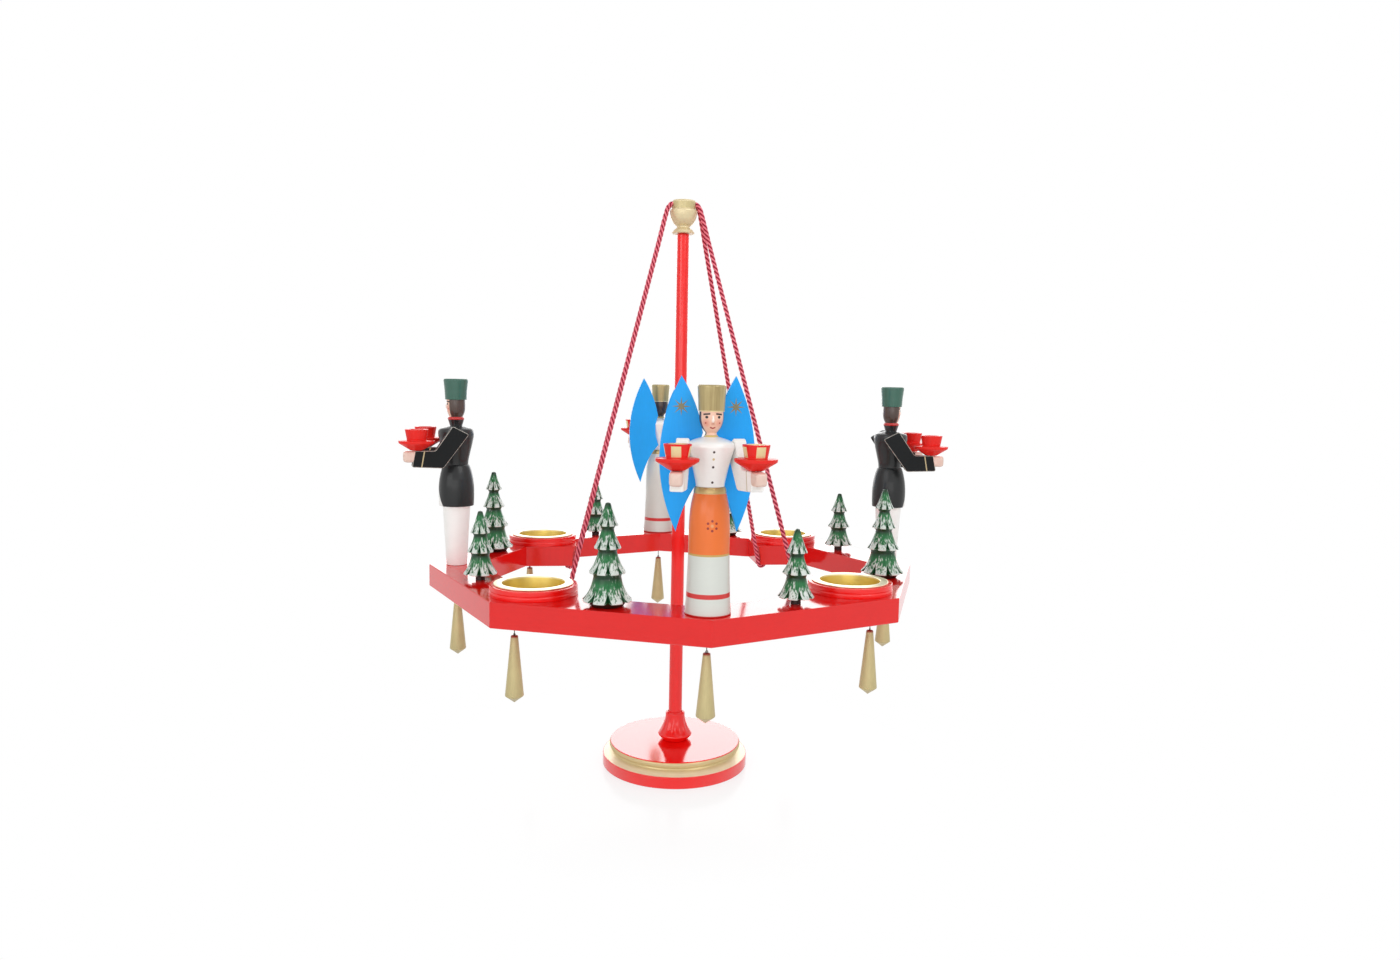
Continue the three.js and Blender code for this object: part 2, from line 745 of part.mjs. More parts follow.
for (const [name, corner] of [["angel_front", 0], ["angel_back", 4]]) {
  addFigure(name, corner, ANGEL, { lower: ANGEL.skirt, lowerName: "skirt", sleeves: WHITE, winged: true });
}
for (const [name, corner] of [["miner_right", 2], ["miner_left", 6]]) {
  addFigure(name, corner, MINER, { lower: MINER.coat, lowerName: "coat", sleeves: BLACK, winged: false });
}

export default holder;
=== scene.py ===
# %% [markdown]
# # Advent candle holder
# An eight-sided wooden ring hangs by two cords from a finial on a turned stand. Two angels and two
# miners hold candle cups on it, tea lights sit between them, and firs and icicles fill the rest.
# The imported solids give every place. This lesson gives each piece its fine shape and its paint.

# %% Load the solids
import math

import bmesh
import bpy
import numpy as np
from mathutils import Matrix, Vector
from mathutils.geometry import tessellate_polygon


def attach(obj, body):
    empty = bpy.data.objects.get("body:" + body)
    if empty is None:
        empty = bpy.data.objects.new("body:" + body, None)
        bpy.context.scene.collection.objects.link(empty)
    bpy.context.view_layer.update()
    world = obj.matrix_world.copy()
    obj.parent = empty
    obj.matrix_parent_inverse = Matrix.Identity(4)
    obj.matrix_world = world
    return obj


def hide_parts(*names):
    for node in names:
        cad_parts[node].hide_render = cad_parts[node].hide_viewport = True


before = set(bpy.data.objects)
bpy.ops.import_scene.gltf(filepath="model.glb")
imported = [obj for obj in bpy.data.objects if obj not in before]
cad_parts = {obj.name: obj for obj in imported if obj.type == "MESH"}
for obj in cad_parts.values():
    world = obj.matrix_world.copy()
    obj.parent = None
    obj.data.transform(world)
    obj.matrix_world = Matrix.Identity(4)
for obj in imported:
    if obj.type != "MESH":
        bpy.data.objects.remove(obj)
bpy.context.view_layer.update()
MM = 0.001  # all sizes below are millimetres, and Blender's unit is the metre

# %% [markdown]
# ## Camera
# The holder is seen from a little above the ring and slightly to the left of its front corner. The
# camera could be aimed with a Track To constraint, but three angles written as a matrix say the
# same with nothing left to evaluate: yaw turns it, pitch tips it and roll levels the picture.

# %% Camera
CAMERA_PLACE = (-81.04, -723.71, 287.96)
CAMERA_YAW, CAMERA_PITCH, CAMERA_ROLL = 0.1331, -0.0957, 0.0189
CAMERA_LENS, SENSOR_WIDTH = 25.01, 36


def camera_turn(yaw, pitch, roll):
    """Forward is (sin yaw cos pitch, cos yaw cos pitch, sin pitch); level lies flat beside it, and
    level and upright turn by roll about forward. A camera looks along its own -Z."""
    flat = math.cos(pitch)
    forward = Vector((math.sin(yaw) * flat, math.cos(yaw) * flat, math.sin(pitch)))
    level = Vector((math.cos(yaw), -math.sin(yaw), 0))
    upright = level.cross(forward)
    right = math.cos(roll) * level + math.sin(roll) * upright
    up = math.cos(roll) * upright - math.sin(roll) * level
    return Matrix((right, up, -forward)).transposed()


lens = bpy.data.cameras.new("lens")
lens.lens = CAMERA_LENS
lens.sensor_width = SENSOR_WIDTH
lens.sensor_fit = "HORIZONTAL"
camera = bpy.data.objects.new("camera", lens)
turn = camera_turn(CAMERA_YAW, CAMERA_PITCH, CAMERA_ROLL).to_4x4()
camera.matrix_world = Matrix.Translation(Vector(CAMERA_PLACE) * MM) @ turn
bpy.context.scene.collection.objects.link(camera)
bpy.context.scene.camera = camera
print("camera at", [round(value, 3) for value in camera.matrix_world.translation])

# %% [markdown]
# ## From arrays to a piece
# Every shape here is a form: an array of points, blocks of faces and an array of spots. A spot is
# the place of a point on its own piece before the piece goes to its corner of the ring, so that a
# face or a stripe painted by spots lands on all figures alike. The points go into the mesh at their
# final place, doubled points of seams and poles are merged, and the faces are turned outwards.

# %% Forms
FULL_TURN = 2 * math.pi


def listed(*axes):
    """Grids of X, Y and Z, spread to one shape, as one list of points."""
    return np.stack(np.broadcast_arrays(*axes), -1).reshape(-1, len(axes))


def round_angles(sides):
    """Equal steps round a full turn."""
    return np.linspace(0, FULL_TURN, sides, endpoint=False)


def unit(vectors):
    """Vectors divided by their lengths."""
    return vectors / np.linalg.norm(vectors, axis=-1, keepdims=True)


def rotated(x, y, angle):
    """A pair turned by an angle: x cos - y sin and x sin + y cos."""
    return x * np.cos(angle) - y * np.sin(angle), x * np.sin(angle) + y * np.cos(angle)


def band_faces(rows, columns):
    """Quads of a grid that closes on itself: row i, column j join the next row and next column."""
    i, j = np.meshgrid(np.arange(rows - 1), np.arange(columns), indexing="ij")
    ahead = (j + 1) % columns
    corners = [i * columns + j, i * columns + ahead, (i + 1) * columns + ahead, (i + 1) * columns + j]
    return np.stack(corners, -1).reshape(-1, 4)


def joined(*forms):
    """Several forms as one: the faces of each form count on from the points before it."""
    points, faces, spots = zip(*forms)
    starts = np.cumsum([0] + [len(part) for part in points])
    counted = [quads + start for blocks, start in zip(faces, starts) for quads in blocks]
    return np.concatenate(points), counted, np.concatenate(spots)


def moved(form, shift):
    """The form carried by a shift, with its spots kept."""
    return form[0] + np.array(shift), form[1], form[2]


print("a grid of 3 x 4 points has", len(band_faces(3, 4)), "quads")

# %% Meshes and pieces
EIGHTH = math.pi / 4
MERGE_REACH = 0.002


def mesh_of(name, form, corner=0.0, at=(0, 0, 0), sharp=35):
    """A mesh of a form, shifted by at and then turned about Z by corner eighths of a turn."""
    points, faces, spots = form
    x, y, z = (points + np.array(at)).T
    placed = listed(*rotated(x, y, corner * EIGHTH), z) * MM
    mesh = bpy.data.meshes.new(name)
    mesh.from_pydata(placed, [], [face for block in faces for face in block.tolist()])
    spot = mesh.attributes.new("spot", "FLOAT_VECTOR", "POINT")
    spot.data.foreach_set("vector", np.ascontiguousarray(spots, np.float32).ravel())
    work = bmesh.new()
    work.from_mesh(mesh)
    bmesh.ops.remove_doubles(work, verts=work.verts, dist=MERGE_REACH * MM)
    bmesh.ops.recalc_face_normals(work, faces=work.faces)
    work.to_mesh(mesh)
    work.free()
    mesh.shade_smooth()
    mesh.set_sharp_from_angle(angle=math.radians(sharp))
    return mesh


def add_piece(name, form, finish, body, node=None, slot=None, **place):
    """A finished piece that rides on a body, stands for a solid and takes a finish; the slot is not used."""
    made = bpy.data.objects.new(name, mesh_of(name, form, **place))
    made.data.materials.append(finish)
    bpy.context.scene.collection.objects.link(made)
    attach(made, body)
    if node:
        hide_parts(node)
    return made


# %% [markdown]
# ## Paint tools
# A finish is a small tree of nodes. These helpers keep the trees readable: feed sets or links a
# socket, count does arithmetic, cloudy gives a noise, layer lays one colour over another where a mask
# is 1, and coats lays several in turn. A socket knows the tree it belongs to, so no call has to name
# it. Colours are written as they look on a screen and turned into linear light.

# %% Node helpers


def shade(red, green, blue):
    """A screen colour of 0 to 255 in linear light, as Blender's colour sockets want it."""
    screen = np.array([red, green, blue]) / 255
    linear = np.where(screen <= 0.04045, screen / 12.92, ((screen + 0.055) / 1.055) ** 2.4)
    return (*linear.tolist(), 1.0)


def feed(socket, value):
    """Link a socket to another one's output, or set it to a plain value."""
    if isinstance(value, bpy.types.NodeSocket):
        socket.id_data.links.new(value, socket)
    else:
        socket.default_value = value


def new_node(kind, *values):
    """A node in the tree of the first socket among the values."""
    tree = next(value.id_data for value in values if isinstance(value, bpy.types.NodeSocket))
    return tree.nodes.new("ShaderNode" + kind)


def count(operation, *values, clamp=False):
    """One arithmetic step on sockets or plain numbers."""
    made = new_node("Math", *values)
    made.operation = operation
    made.use_clamp = clamp
    for socket, value in zip(made.inputs, values):
        feed(socket, value)
    return made.outputs[0]


def cloudy(spot, stretch, detail=3.0):
    """A noise of 0 to 1 whose waves per millimetre along X, Y and Z are given by stretch."""
    scaled = new_node("VectorMath", spot)
    scaled.operation = "MULTIPLY"
    feed(scaled.inputs[0], spot)
    feed(scaled.inputs[1], stretch)
    made = new_node("TexNoise", spot)
    made.inputs["Scale"].default_value = 1.0
    made.inputs["Detail"].default_value = detail
    feed(made.inputs["Vector"], scaled.outputs[0])
    return made.outputs[0]


def layer(mask, below, above):
    """The colour above covers the colour below where the mask is 1."""
    made = new_node("Mix", mask)
    made.data_type = "RGBA"
    feed(made.inputs[0], mask)
    feed(made.inputs[6], below)
    feed(made.inputs[7], above)
    return made.outputs[2]


def coats(ground, *marks):
    """Marks of (mask, colour) laid over a ground in turn."""
    for mask, colour in marks:
        ground = layer(mask, ground, colour)
    return ground


def parts_of(vector):
    """The X, Y and Z sockets of a vector."""
    made = new_node("SeparateXYZ", vector)
    feed(made.inputs[0], vector)
    return made.outputs


print("linear light of a mid grey:", round(shade(128, 128, 128)[0], 3))

# %% [markdown]
# ## Effects that several finishes share
# Four node groups do the brushwork. Grain gives a colour the slow clouding and fine streaks of paint
# on wood. Stripe is a soft-edged band of any value, dot a soft round spot, and fold a ring of equal
# dots or rays, made by folding the angle round a middle. Each puts out only what changes over the
# surface, and each finish keeps its own shader.

# %% Node groups


def new_group(name, inputs, outputs):
    """An empty node group with named sockets, and its two ends."""
    tree = bpy.data.node_groups.new(name, "ShaderNodeTree")
    for side, sockets in (("INPUT", inputs), ("OUTPUT", outputs)):
        for title, kind in sockets.items():
            tree.interface.new_socket(name=title, in_out=side, socket_type="NodeSocket" + kind)
    return tree, tree.nodes.new("NodeGroupInput").outputs, tree.nodes.new("NodeGroupOutput").inputs


def use(group, **values):
    """Place a group in a finish and feed its inputs by name."""
    made = new_node("Group", *values.values())
    made.node_tree = group
    for title, value in values.items():
        feed(made.inputs[title], value)
    return made.outputs


def from_middle(given):
    """How far a place Across and Up lies from the middle."""
    square = count("MULTIPLY", given["Across"], given["Across"])
    return count("SQRT", count("MULTIPLY_ADD", given["Up"], given["Up"], square))


grain, given, out = new_group(
    "paint grain",
    {"Spot": "Vector", "Stretch": "Vector", "Depth": "Float", "Colour": "Color"},
    {"Colour": "Color", "Height": "Float"},
)
slow = cloudy(given["Spot"], (0.08, 0.08, 0.08), 2.0)
fine = cloudy(given["Spot"], given["Stretch"], 4.0)
swing = count("SUBTRACT", count("ADD", slow, fine), 1.0)
tint = grain.nodes.new("ShaderNodeHueSaturation")
feed(tint.inputs["Value"], count("MULTIPLY_ADD", swing, given["Depth"], 1.0))
feed(tint.inputs["Color"], given["Colour"])
feed(out["Colour"], tint.outputs[0])
feed(out["Height"], fine)

stripe, given, out = new_group(
    "stripe", {"Value": "Float", "Low": "Float", "High": "Float", "Soft": "Float"}, {"Mask": "Float"}
)
above_low = count("SUBTRACT", given["Value"], given["Low"])
below_high = count("SUBTRACT", given["High"], given["Value"])
nearest = count("DIVIDE", count("MINIMUM", above_low, below_high), given["Soft"])
feed(out["Mask"], count("ADD", nearest, 0.5, clamp=True))

dot, given, out = new_group(
    "dot", {"Across": "Float", "Up": "Float", "Radius": "Float", "Soft": "Float"}, {"Mask": "Float"}
)
inside = count("DIVIDE", count("SUBTRACT", given["Radius"], from_middle(given)), given["Soft"])
feed(out["Mask"], count("ADD", inside, 0.5, clamp=True))

fold, given, out = new_group(
    "fold", {"Across": "Float", "Up": "Float", "Half": "Float"}, {"Along": "Float", "Beside": "Float"}
)
reach = from_middle(given)
angle = count("ADD", count("ARCTAN2", given["Up"], given["Across"]), 8 * math.pi)
folded = count("PINGPONG", angle, given["Half"])
feed(out["Along"], count("MULTIPLY", reach, count("COSINE", folded)))
feed(out["Beside"], count("MULTIPLY", reach, count("SINE", folded)))
print("node groups:", [group.name for group in bpy.data.node_groups])

# %% Masks


def facing(spot):
    """Across, height and the angle from the front in degrees, unsigned."""
    across, depth, height = parts_of(spot)
    angle = count("ARCTAN2", across, count("MULTIPLY", depth, -1.0))
    return across, height, count("MULTIPLY", count("ABSOLUTE", angle), 180 / math.pi)


def stripe_of(value, low, high, soft=0.15):
    """The stripe group's mask for a value."""
    return use(stripe, Value=value, Low=low, High=high, Soft=soft)["Mask"]


def dot_at(across, up, middle, level, radius, soft=0.18):
    """The dot group's mask at a place."""
    away, rise = count("SUBTRACT", across, middle), count("SUBTRACT", up, level)
    return use(dot, Across=away, Up=rise, Radius=radius, Soft=soft)["Mask"]


def both(*masks):
    """The product of masks."""
    product = masks[0]
    for mask in masks[1:]:
        product = count("MULTIPLY", product, mask)
    return product


print("mask helpers:", [helper.__name__ for helper in (facing, stripe_of, dot_at, both)])

# %% [markdown]
# ## A finish
# Every finish reads the spot attribute of its piece, mixes its colours from masks, and passes them
# through the grain group into a Principled shader. A clear coat stands for the lacquer, and the
# grain's height gives the coat the slight waviness of paint brushed on wood.

# %% Finish helpers


def new_finish(name, roughness, metallic=0.0, coat=0.0, coat_roughness=0.06, specular=0.5):
    """A material with its uniform numbers set on the shader, and the socket of its spots."""
    finish = bpy.data.materials.new(name)
    finish.use_nodes = True
    shader = finish.node_tree.nodes["Principled BSDF"]
    shader.inputs["Roughness"].default_value = roughness
    shader.inputs["Metallic"].default_value = metallic
    shader.inputs["Coat Weight"].default_value = coat
    shader.inputs["Coat Roughness"].default_value = coat_roughness
    shader.inputs["Specular IOR Level"].default_value = specular
    spot = finish.node_tree.nodes.new("ShaderNodeAttribute")
    spot.attribute_name = "spot"
    return finish, shader, spot.outputs["Vector"]


def emboss(shader, height, relief):
    """Bump the surface by a height of 0 to 1 times the relief in millimetres."""
    bump = new_node("Bump", height)
    bump.inputs["Distance"].default_value = relief * MM
    feed(bump.inputs["Height"], height)
    feed(shader.inputs["Normal"], bump.outputs[0])


def brush(shader, spot, colour, stretch, depth=0.12, relief=0.02):
    """Lay the colour on through the paint grain, emboss the grain and give its height."""
    laid = use(grain, Spot=spot, Stretch=stretch, Depth=depth, Colour=colour)
    feed(shader.inputs["Base Color"], laid["Colour"])
    emboss(shader, laid["Height"], relief)
    return laid["Height"]


RINGS = (0.25, 0.25, 3.0)  # fine rings left by the lathe
FIBRES = (1.8, 1.8, 0.12)  # upright wood fibres
BOARD_FIBRES = (0.12, 1.6, 1.6)  # fibres along a sawn board
print("grain stretches:", RINGS, FIBRES, BOARD_FIBRES)

# %% [markdown]
# ## Cords
# Two crimson cords lie side by side in the finial's slot. The front one joins the two front blocks of
# the ring, the back one the two behind, and together they carry it. Each is a three-ply twist. A
# curve with a round bevel would give a plain tube, so the plies are carried along the route instead:
# each is a tube round a helix about the route. A cord's own sag can be left out, because the ring's
# weight pulls it taut.

# %% Smooth line


def flowing(points, steps):
    """A centripetal Catmull-Rom curve: between neighbours it is a Hermite cubic whose end slopes
    weigh the chords on both sides by the square roots of their lengths."""
    points = np.asarray(points, float)
    padded = np.concatenate([2 * points[:1] - points[1:2], points, 2 * points[-1:] - points[-2:-1]])
    gap = np.sqrt(np.linalg.norm(np.diff(padded, axis=0), axis=1))[:, None]
    slope = np.diff(padded, axis=0) / gap
    double = (padded[2:] - padded[:-2]) / (gap[1:] + gap[:-1])
    bend = slope[:-1] - double + slope[1:]
    start, end = (bend[:-1] * gap[1:-1])[:, None], (bend[1:] * gap[1:-1])[:, None]
    t = np.linspace(0, 1, steps, endpoint=False)[None, :, None]
    here, there = points[:-1, None], points[1:, None]
    curve = here * (2 * t**3 - 3 * t**2 + 1) + there * (3 * t**2 - 2 * t**3)
    curve = curve + start * (t**3 - 2 * t**2 + t) + end * (t**3 - t**2)
    return np.concatenate([curve.reshape(-1, points.shape[1]), points[-1:]])


print("a flowing line of two stretches has", len(flowing([(0, 0), (1, 1), (2, 0)], 4)), "points")

# %% Cord route
CORDS = {
    "cord_front": {"aside": -1.8, "feet": ((-80.4, -71.1), (74.0, -74.0))},
    "cord_back": {"aside": 1.8, "feet": ((-74.0, 74.0), (74.0, 74.0))},
}
RING_TOP, RING_BOTTOM = 154.7, 138.5
CORD_LEVEL, RIM_REACH, RIM_BEND = 421.3, 10.8, 7.0
FOOT_BEND, CORD_LOWEST = 6.8, 136.5
CORD_ENTRY, CORD_END = math.radians(45), 3.2
ROUTE_STEPS, PLY_GAP, PATH_GAP = 24, 0.5, 4.0
UPWARD = np.array([0, 0, 1.0])


def cord_fall(aside, foot):
    """The straight fall to a foot at the ring's top: its start over the rim, its whole drop, its way
    outwards on the level and its lean from the vertical."""
    start = np.array([math.copysign(RIM_REACH, foot[0]), aside, CORD_LEVEL])
    drop = np.array([*foot, RING_TOP]) - start
    run = math.hypot(drop[0], drop[1])
    return start, drop, np.array([drop[0], drop[1], 0]) / run, math.atan2(run, -drop[2])


def fall_place(start, drop, height):
    """The places of a fall at one height or more."""
    share = (np.asarray(height, float) - start[2]) / drop[2]
    return start + share[..., None] * drop


def bent(start, radius, ahead, aside, angles):
    """Places on a circle that leaves a start ahead and turns aside by the angles a: start + radius
    (sin a ahead + (1 - cos a) aside)."""
    return start + radius * (np.sin(angles)[:, None] * ahead + (1 - np.cos(angles))[:, None] * aside)


def cord_half(aside, foot):
    """From the finial to the end in the block: a circular bend in the plane of the level stretch and
    the fall, the straight fall, a circular bend under the block and a short straight end."""
    start, drop, out, lean = cord_fall(aside, foot)
    along = unit(drop)
    level = np.array([math.copysign(1.0, foot[0]), 0, 0])
    turn = math.acos(level @ along)
    down = (along - math.cos(turn) * level) / math.sin(turn)
    rim = start - RIM_BEND * math.tan(turn / 2) * level
    edge = bent(rim, RIM_BEND, level, down, np.linspace(0, turn, 5))
    dip = math.pi / 2 - lean
    foot_height = CORD_LOWEST + FOOT_BEND * (1 - math.cos(dip))
    lowest = fall_place(start, drop, foot_height) + FOOT_BEND * math.sin(dip) * out
    lowest[2] = CORD_LOWEST
    bend = bent(lowest, FOOT_BEND, out, UPWARD, np.linspace(-dip, CORD_ENTRY, 8))
    heights = edge[-1, 2] + np.array([0.1, 0.5, 0.9]) * (foot_height - edge[-1, 2])
    end = bend[-1:] + CORD_END * (math.cos(CORD_ENTRY) * out + math.sin(CORD_ENTRY) * UPWARD)
    return np.concatenate([[rim * (0.5, 1, 1)], edge, fall_place(start, drop, heights), bend, end])


def cord_walk(cord, gap):
    """A flowing line from hole to hole through the middle of the slot, walked in equal steps: places
    are read off its running length, which is given too."""
    left, right = (cord_half(cord["aside"], foot) for foot in cord["feet"])
    corners = np.concatenate([left[::-1], [(0, cord["aside"], CORD_LEVEL)], right])
    line = flowing(corners, ROUTE_STEPS)
    run = np.concatenate([[0], np.cumsum(np.linalg.norm(np.diff(line, axis=0), axis=1))])
    at = np.linspace(0, run[-1], int(round(run[-1] / gap)) + 1)
    return np.stack([np.interp(at, run, axis) for axis in line.T], 1), at


for name, cord in CORDS.items():
    print(name, "is", round(cord_walk(cord, PATH_GAP)[1][-1], 1), "mm long")

# %% Cord finish
crimson, shader, spot = new_finish("crimson cord", 0.75, specular=0.2)
cosine, sine, length = parts_of(spot)
yarn_angle = count("MULTIPLY", count("ARCTAN2", sine, cosine), 5.0)
yarn = count("SINE", count("MULTIPLY_ADD", length, 3.4, yarn_angle))
fluff = cloudy(spot, (1.2, 1.2, 1.6))
# Painted light: where each ply faces outwards it is painted light pink as a painted highlight, and towards
# the grooves between the plies dark crimson as painted shade.
crest = count("MULTIPLY_ADD", cosine, 1.1, -0.35)
lit = count("MULTIPLY_ADD", fluff, 0.4, crest)
crest_light = count("MULTIPLY_ADD", yarn, 0.1, lit, clamp=True)
yarns = layer(crest_light, shade(154, 22, 50), shade(255, 136, 150))
feed(shader.inputs["Base Color"], yarns)
emboss(shader, crest_light, 0.12)
print("cord finish:", len(crimson.node_tree.nodes), "nodes")

# %% Twist the cords
PLIES = 3
PLY_RADIUS, PLY_OFFSET = 0.94, 0.79
TWIST_PITCH = 12.3
PLY_SIDES = 10


def ply(cord, lead):
    """A tube round a helix: the route, plus an offset turned by 2 pi length / pitch + lead across
    it, plus a circle of the ply's radius in the plane across the route. The ends close to a point."""
    route, along = cord_walk(cord, PLY_GAP)
    ahead = unit(np.gradient(route, axis=0))
    beside = unit(np.cross(ahead, UPWARD))
    over = np.cross(beside, ahead)
    twist = (FULL_TURN * along / TWIST_PITCH + lead)[:, None]
    middle = route + PLY_OFFSET * (np.cos(twist) * beside + np.sin(twist) * over)
    angle = round_angles(PLY_SIDES)
    radius = np.full(len(route), PLY_RADIUS)
    radius[[0, -1]] = 0
    circle = np.cos(angle)[None, :, None] * beside[:, None] + np.sin(angle)[None, :, None] * over[:, None]
    points = middle[:, None] + radius[:, None, None] * circle
    spots = listed(np.cos(angle - twist), np.sin(angle - twist), along[:, None])
    return points.reshape(-1, 3), [band_faces(len(route), PLY_SIDES)], spots


def add_cord(node, cord):
    """The plies of one cord, made into one piece; the route walked after them is not used."""
    plies = [ply(cord, lead) for lead in round_angles(PLIES)]
    made = add_piece(node + "_twist", joined(*plies), crimson, "carousel", node, "cord", sharp=180)
    route, along = cord_walk(cord, PATH_GAP)


for node, cord in CORDS.items():
    add_cord(node, cord)
print("cords: 2 of", PLIES, "plies of", PLY_RADIUS, "mm radius, a turn every", TWIST_PITCH, "mm")

# %% [markdown]
# ## Turned wood
# Most pieces came off a lathe: the base, the pole, the cups and the figures' bodies. A Screw or Spin
# modifier could turn a profile, but a grid of radius times sine and cosine does it in one line of
# numpy and keeps the spots. Corners of a profile are eased, because a turned edge is never knife
# sharp and only a rounded edge catches a line of light.

# %% Lathe helpers


def parabola(start, pull, end, t):
    """The curve (1-t)^2 start + 2t(1-t) pull + t^2 end."""
    return (1 - t) ** 2 * start + 2 * t * (1 - t) * pull + t**2 * end


def eased(points, reach=0.4, steps=4):
    """Corners of an open line become short parabolas, each from a reach before the corner to a reach
    after it, with the corner as its pull."""
    points = np.asarray(points, float)
    corner = points[1:-1]

    def toward(other):
        edge = other - corner
        size = np.maximum(np.linalg.norm(edge, axis=1), 1e-9)[:, None]
        return corner + edge * np.minimum(reach, 0.45 * size) / size

    before, after = toward(points[:-2])[:, None], toward(points[2:])[:, None]
    bends = parabola(before, corner[:, None], after, np.linspace(0, 1, steps + 1)[None, :, None])
    return np.concatenate([points[:1], bends.reshape(-1, points.shape[1]), points[-1:]])


def stacked(*parts):
    """Smooth stretches and plain corners in one profile, in order."""
    return np.concatenate([np.asarray(part, float) for part in parts])


def turned(profile, sides, keep=1.0):
    """A revolve: a profile point (r, z) at an angle from the front is (r sin, -r cos, z), with r
    times keep, an array over rows and sides that carves flutes."""
    profile = np.asarray(profile, float)
    angle, radius = round_angles(sides), profile[:, :1] * keep
    points = listed(radius * np.sin(angle), -radius * np.cos(angle), profile[:, 1:])
    return points, [band_faces(len(profile), sides)], points


print("an eased right angle has", len(eased([(0, 0), (5, 0), (5, 5)])), "points")

# %% [markdown]
# ## Red lacquer and gold paint
# The stand and the ring are glossy red over beech, almost a mirror where they are seen at a low
# angle. Gold paint covers the base's cove and bead, the finial, the angels' hats and the icicles: a
# satin paint with fine metal flakes, so it is part metal and rougher than brass.

# %% Red and gold finishes
# Painted light: RED on the turned stand, base and discs is lighter than BOARD_RED on the ring, though both
# are one red lacquer.
RED, BOARD_RED = shade(244, 20, 16), shade(226, 16, 13)
LIP_SHADE_BAND = (416.9, 421.6)
GILT_BAND, FLARE_HIGHLIGHT_BAND = (8.75, 17.1), (-1.0, 10.2)


def red_finish(name, red, stretch, gloss_roughness, gloss_ior):
    """Red lacquer: a saturated coat of paint under a clear gloss, which does all the mirroring."""
    finish, shader, spot = new_finish(name, 0.28, coat=1.0, coat_roughness=gloss_roughness, specular=0.0)
    shader.inputs["Coat IOR"].default_value = gloss_ior
    brush(shader, spot, red, stretch, depth=0.1, relief=0.003)
    return finish


def gold_rough(shader, spot):
    """Flakes: a fine noise sets how rough the gold is."""
    flakes = cloudy(spot, (4.0, 4.0, 4.0), 2.0)
    feed(shader.inputs["Roughness"], count("MULTIPLY_ADD", flakes, 0.08, 0.4))


red_turned = red_finish("red lacquer turned", RED, RINGS, 0.2, 1.55)
red_board = red_finish("red lacquer board", BOARD_RED, (0.3, 0.3, 0.9), 0.1, 1.5)

gold_turned, shader, spot = new_finish("gold paint turned", 0.4, metallic=0.35, coat=0.2)
# Painted shade: the band under the goblet's lip is painted a darker olive gold.
lip_shade = stripe_of(parts_of(spot)[2], *LIP_SHADE_BAND, 0.6)
leaf = layer(lip_shade, shade(222, 205, 163), shade(200, 184, 134))
brush(shader, spot, leaf, RINGS, depth=0.1, relief=0.004)
gold_rough(shader, spot)

base_paint, shader, spot = new_finish("base paint", 0.28, coat=1.0, coat_roughness=0.13, specular=0.0)
height = parts_of(spot)[2]
gilt = stripe_of(height, *GILT_BAND)
# Painted highlight: the lowest, flattest part of the gold cove, below 10.2 mm, is painted a near-white cream.
flare_highlight = stripe_of(height, *FLARE_HIGHLIGHT_BAND, 1.6)
leaf = layer(flare_highlight, shade(212, 194, 146), shade(255, 246, 218))
brush(shader, spot, layer(gilt, RED, leaf), RINGS, depth=0.1, relief=0.005)
feed(shader.inputs["Metallic"], count("MULTIPLY", gilt, 0.3))
shader.inputs["Coat IOR"].default_value = 2.1
low_angle = new_node("LayerWeight", gilt)
gloss = count("MULTIPLY_ADD", low_angle.outputs["Facing"], 1.3, 0.3, clamp=True)
bare = count("MULTIPLY_ADD", gilt, -0.9, 1.0)
feed(shader.inputs["Coat Weight"], count("MULTIPLY", gloss, bare))
feed(shader.inputs["Roughness"], count("MULTIPLY_ADD", gilt, 0.06, 0.26))
print("finishes so far:", [finish.name for finish in bpy.data.materials if finish.users == 0])

# %% [markdown]
# ## Stand
# The base is one turning: a red wall, a hollow cove that rises to a bead, and a red top. A fluted
# collar sits round the pole's foot. Its flutes are a ring of shallow hollows, made by taking a
# little off the radius in a cosine of the angle, strongest half-way up the flare.

# %% Base, collar and pole
BASE_PROFILE = stacked(
    eased([(0, 0), (54.6, 0), (55.1, 0.5), (55.1, 8.3), (54.7, 8.7)], 0.3),
    flowing([(54.7, 8.7), (50.6, 9.5), (47.9, 10.9), (47.2, 12.2)], 6)[1:],
    flowing([(47.2, 12.2), (48.7, 13.1), (49.9, 14.7), (49.9, 16.3), (49, 17.7)], 6)[1:],
    [(40, 17.7), (22, 17.7), (5.4, 17.7), (5.4, 5.8), (0, 5.8)],
)
add_piece("base_turning", turned(BASE_PROFILE, 128), base_paint, "stand", "base", "red_lacquer")

FLUTES, FLUTE_DEPTH = 12, 0.06
FLUTE_FOOT, FLUTE_RISE = 23, 13
COLLAR_SIDES, COLLAR_CORE = 144, 6
COLLAR_PROFILE = stacked(
    eased([(5.4, 17.8), (9.5, 17.8), (12.8, 21.6), (12.8, 22.3)], 0.5),
    flowing([(12.8, 22.3), (9.9, 27.4), (8.2, 31.9), (7.35, 35.8)], 8)[1:],
    eased([(7.35, 35.8), (7.35, 38.5), (5.7, 39.6), (5.4, 39.6), (5.4, 17.8)], 0.4)[1:],
)
outside = COLLAR_PROFILE[:, 0] > COLLAR_CORE
rise = np.clip((COLLAR_PROFILE[:, 1] - FLUTE_FOOT) / FLUTE_RISE, 0, 1) * outside
depth = FLUTE_DEPTH * np.sin(math.pi * rise)[:, None]
keep = 1 - depth * (0.5 + 0.5 * np.cos(FLUTES * round_angles(COLLAR_SIDES)))
collar = turned(COLLAR_PROFILE, COLLAR_SIDES, keep)
add_piece("collar_turning", collar, red_turned, "stand", "pole_collar", "red_lacquer")

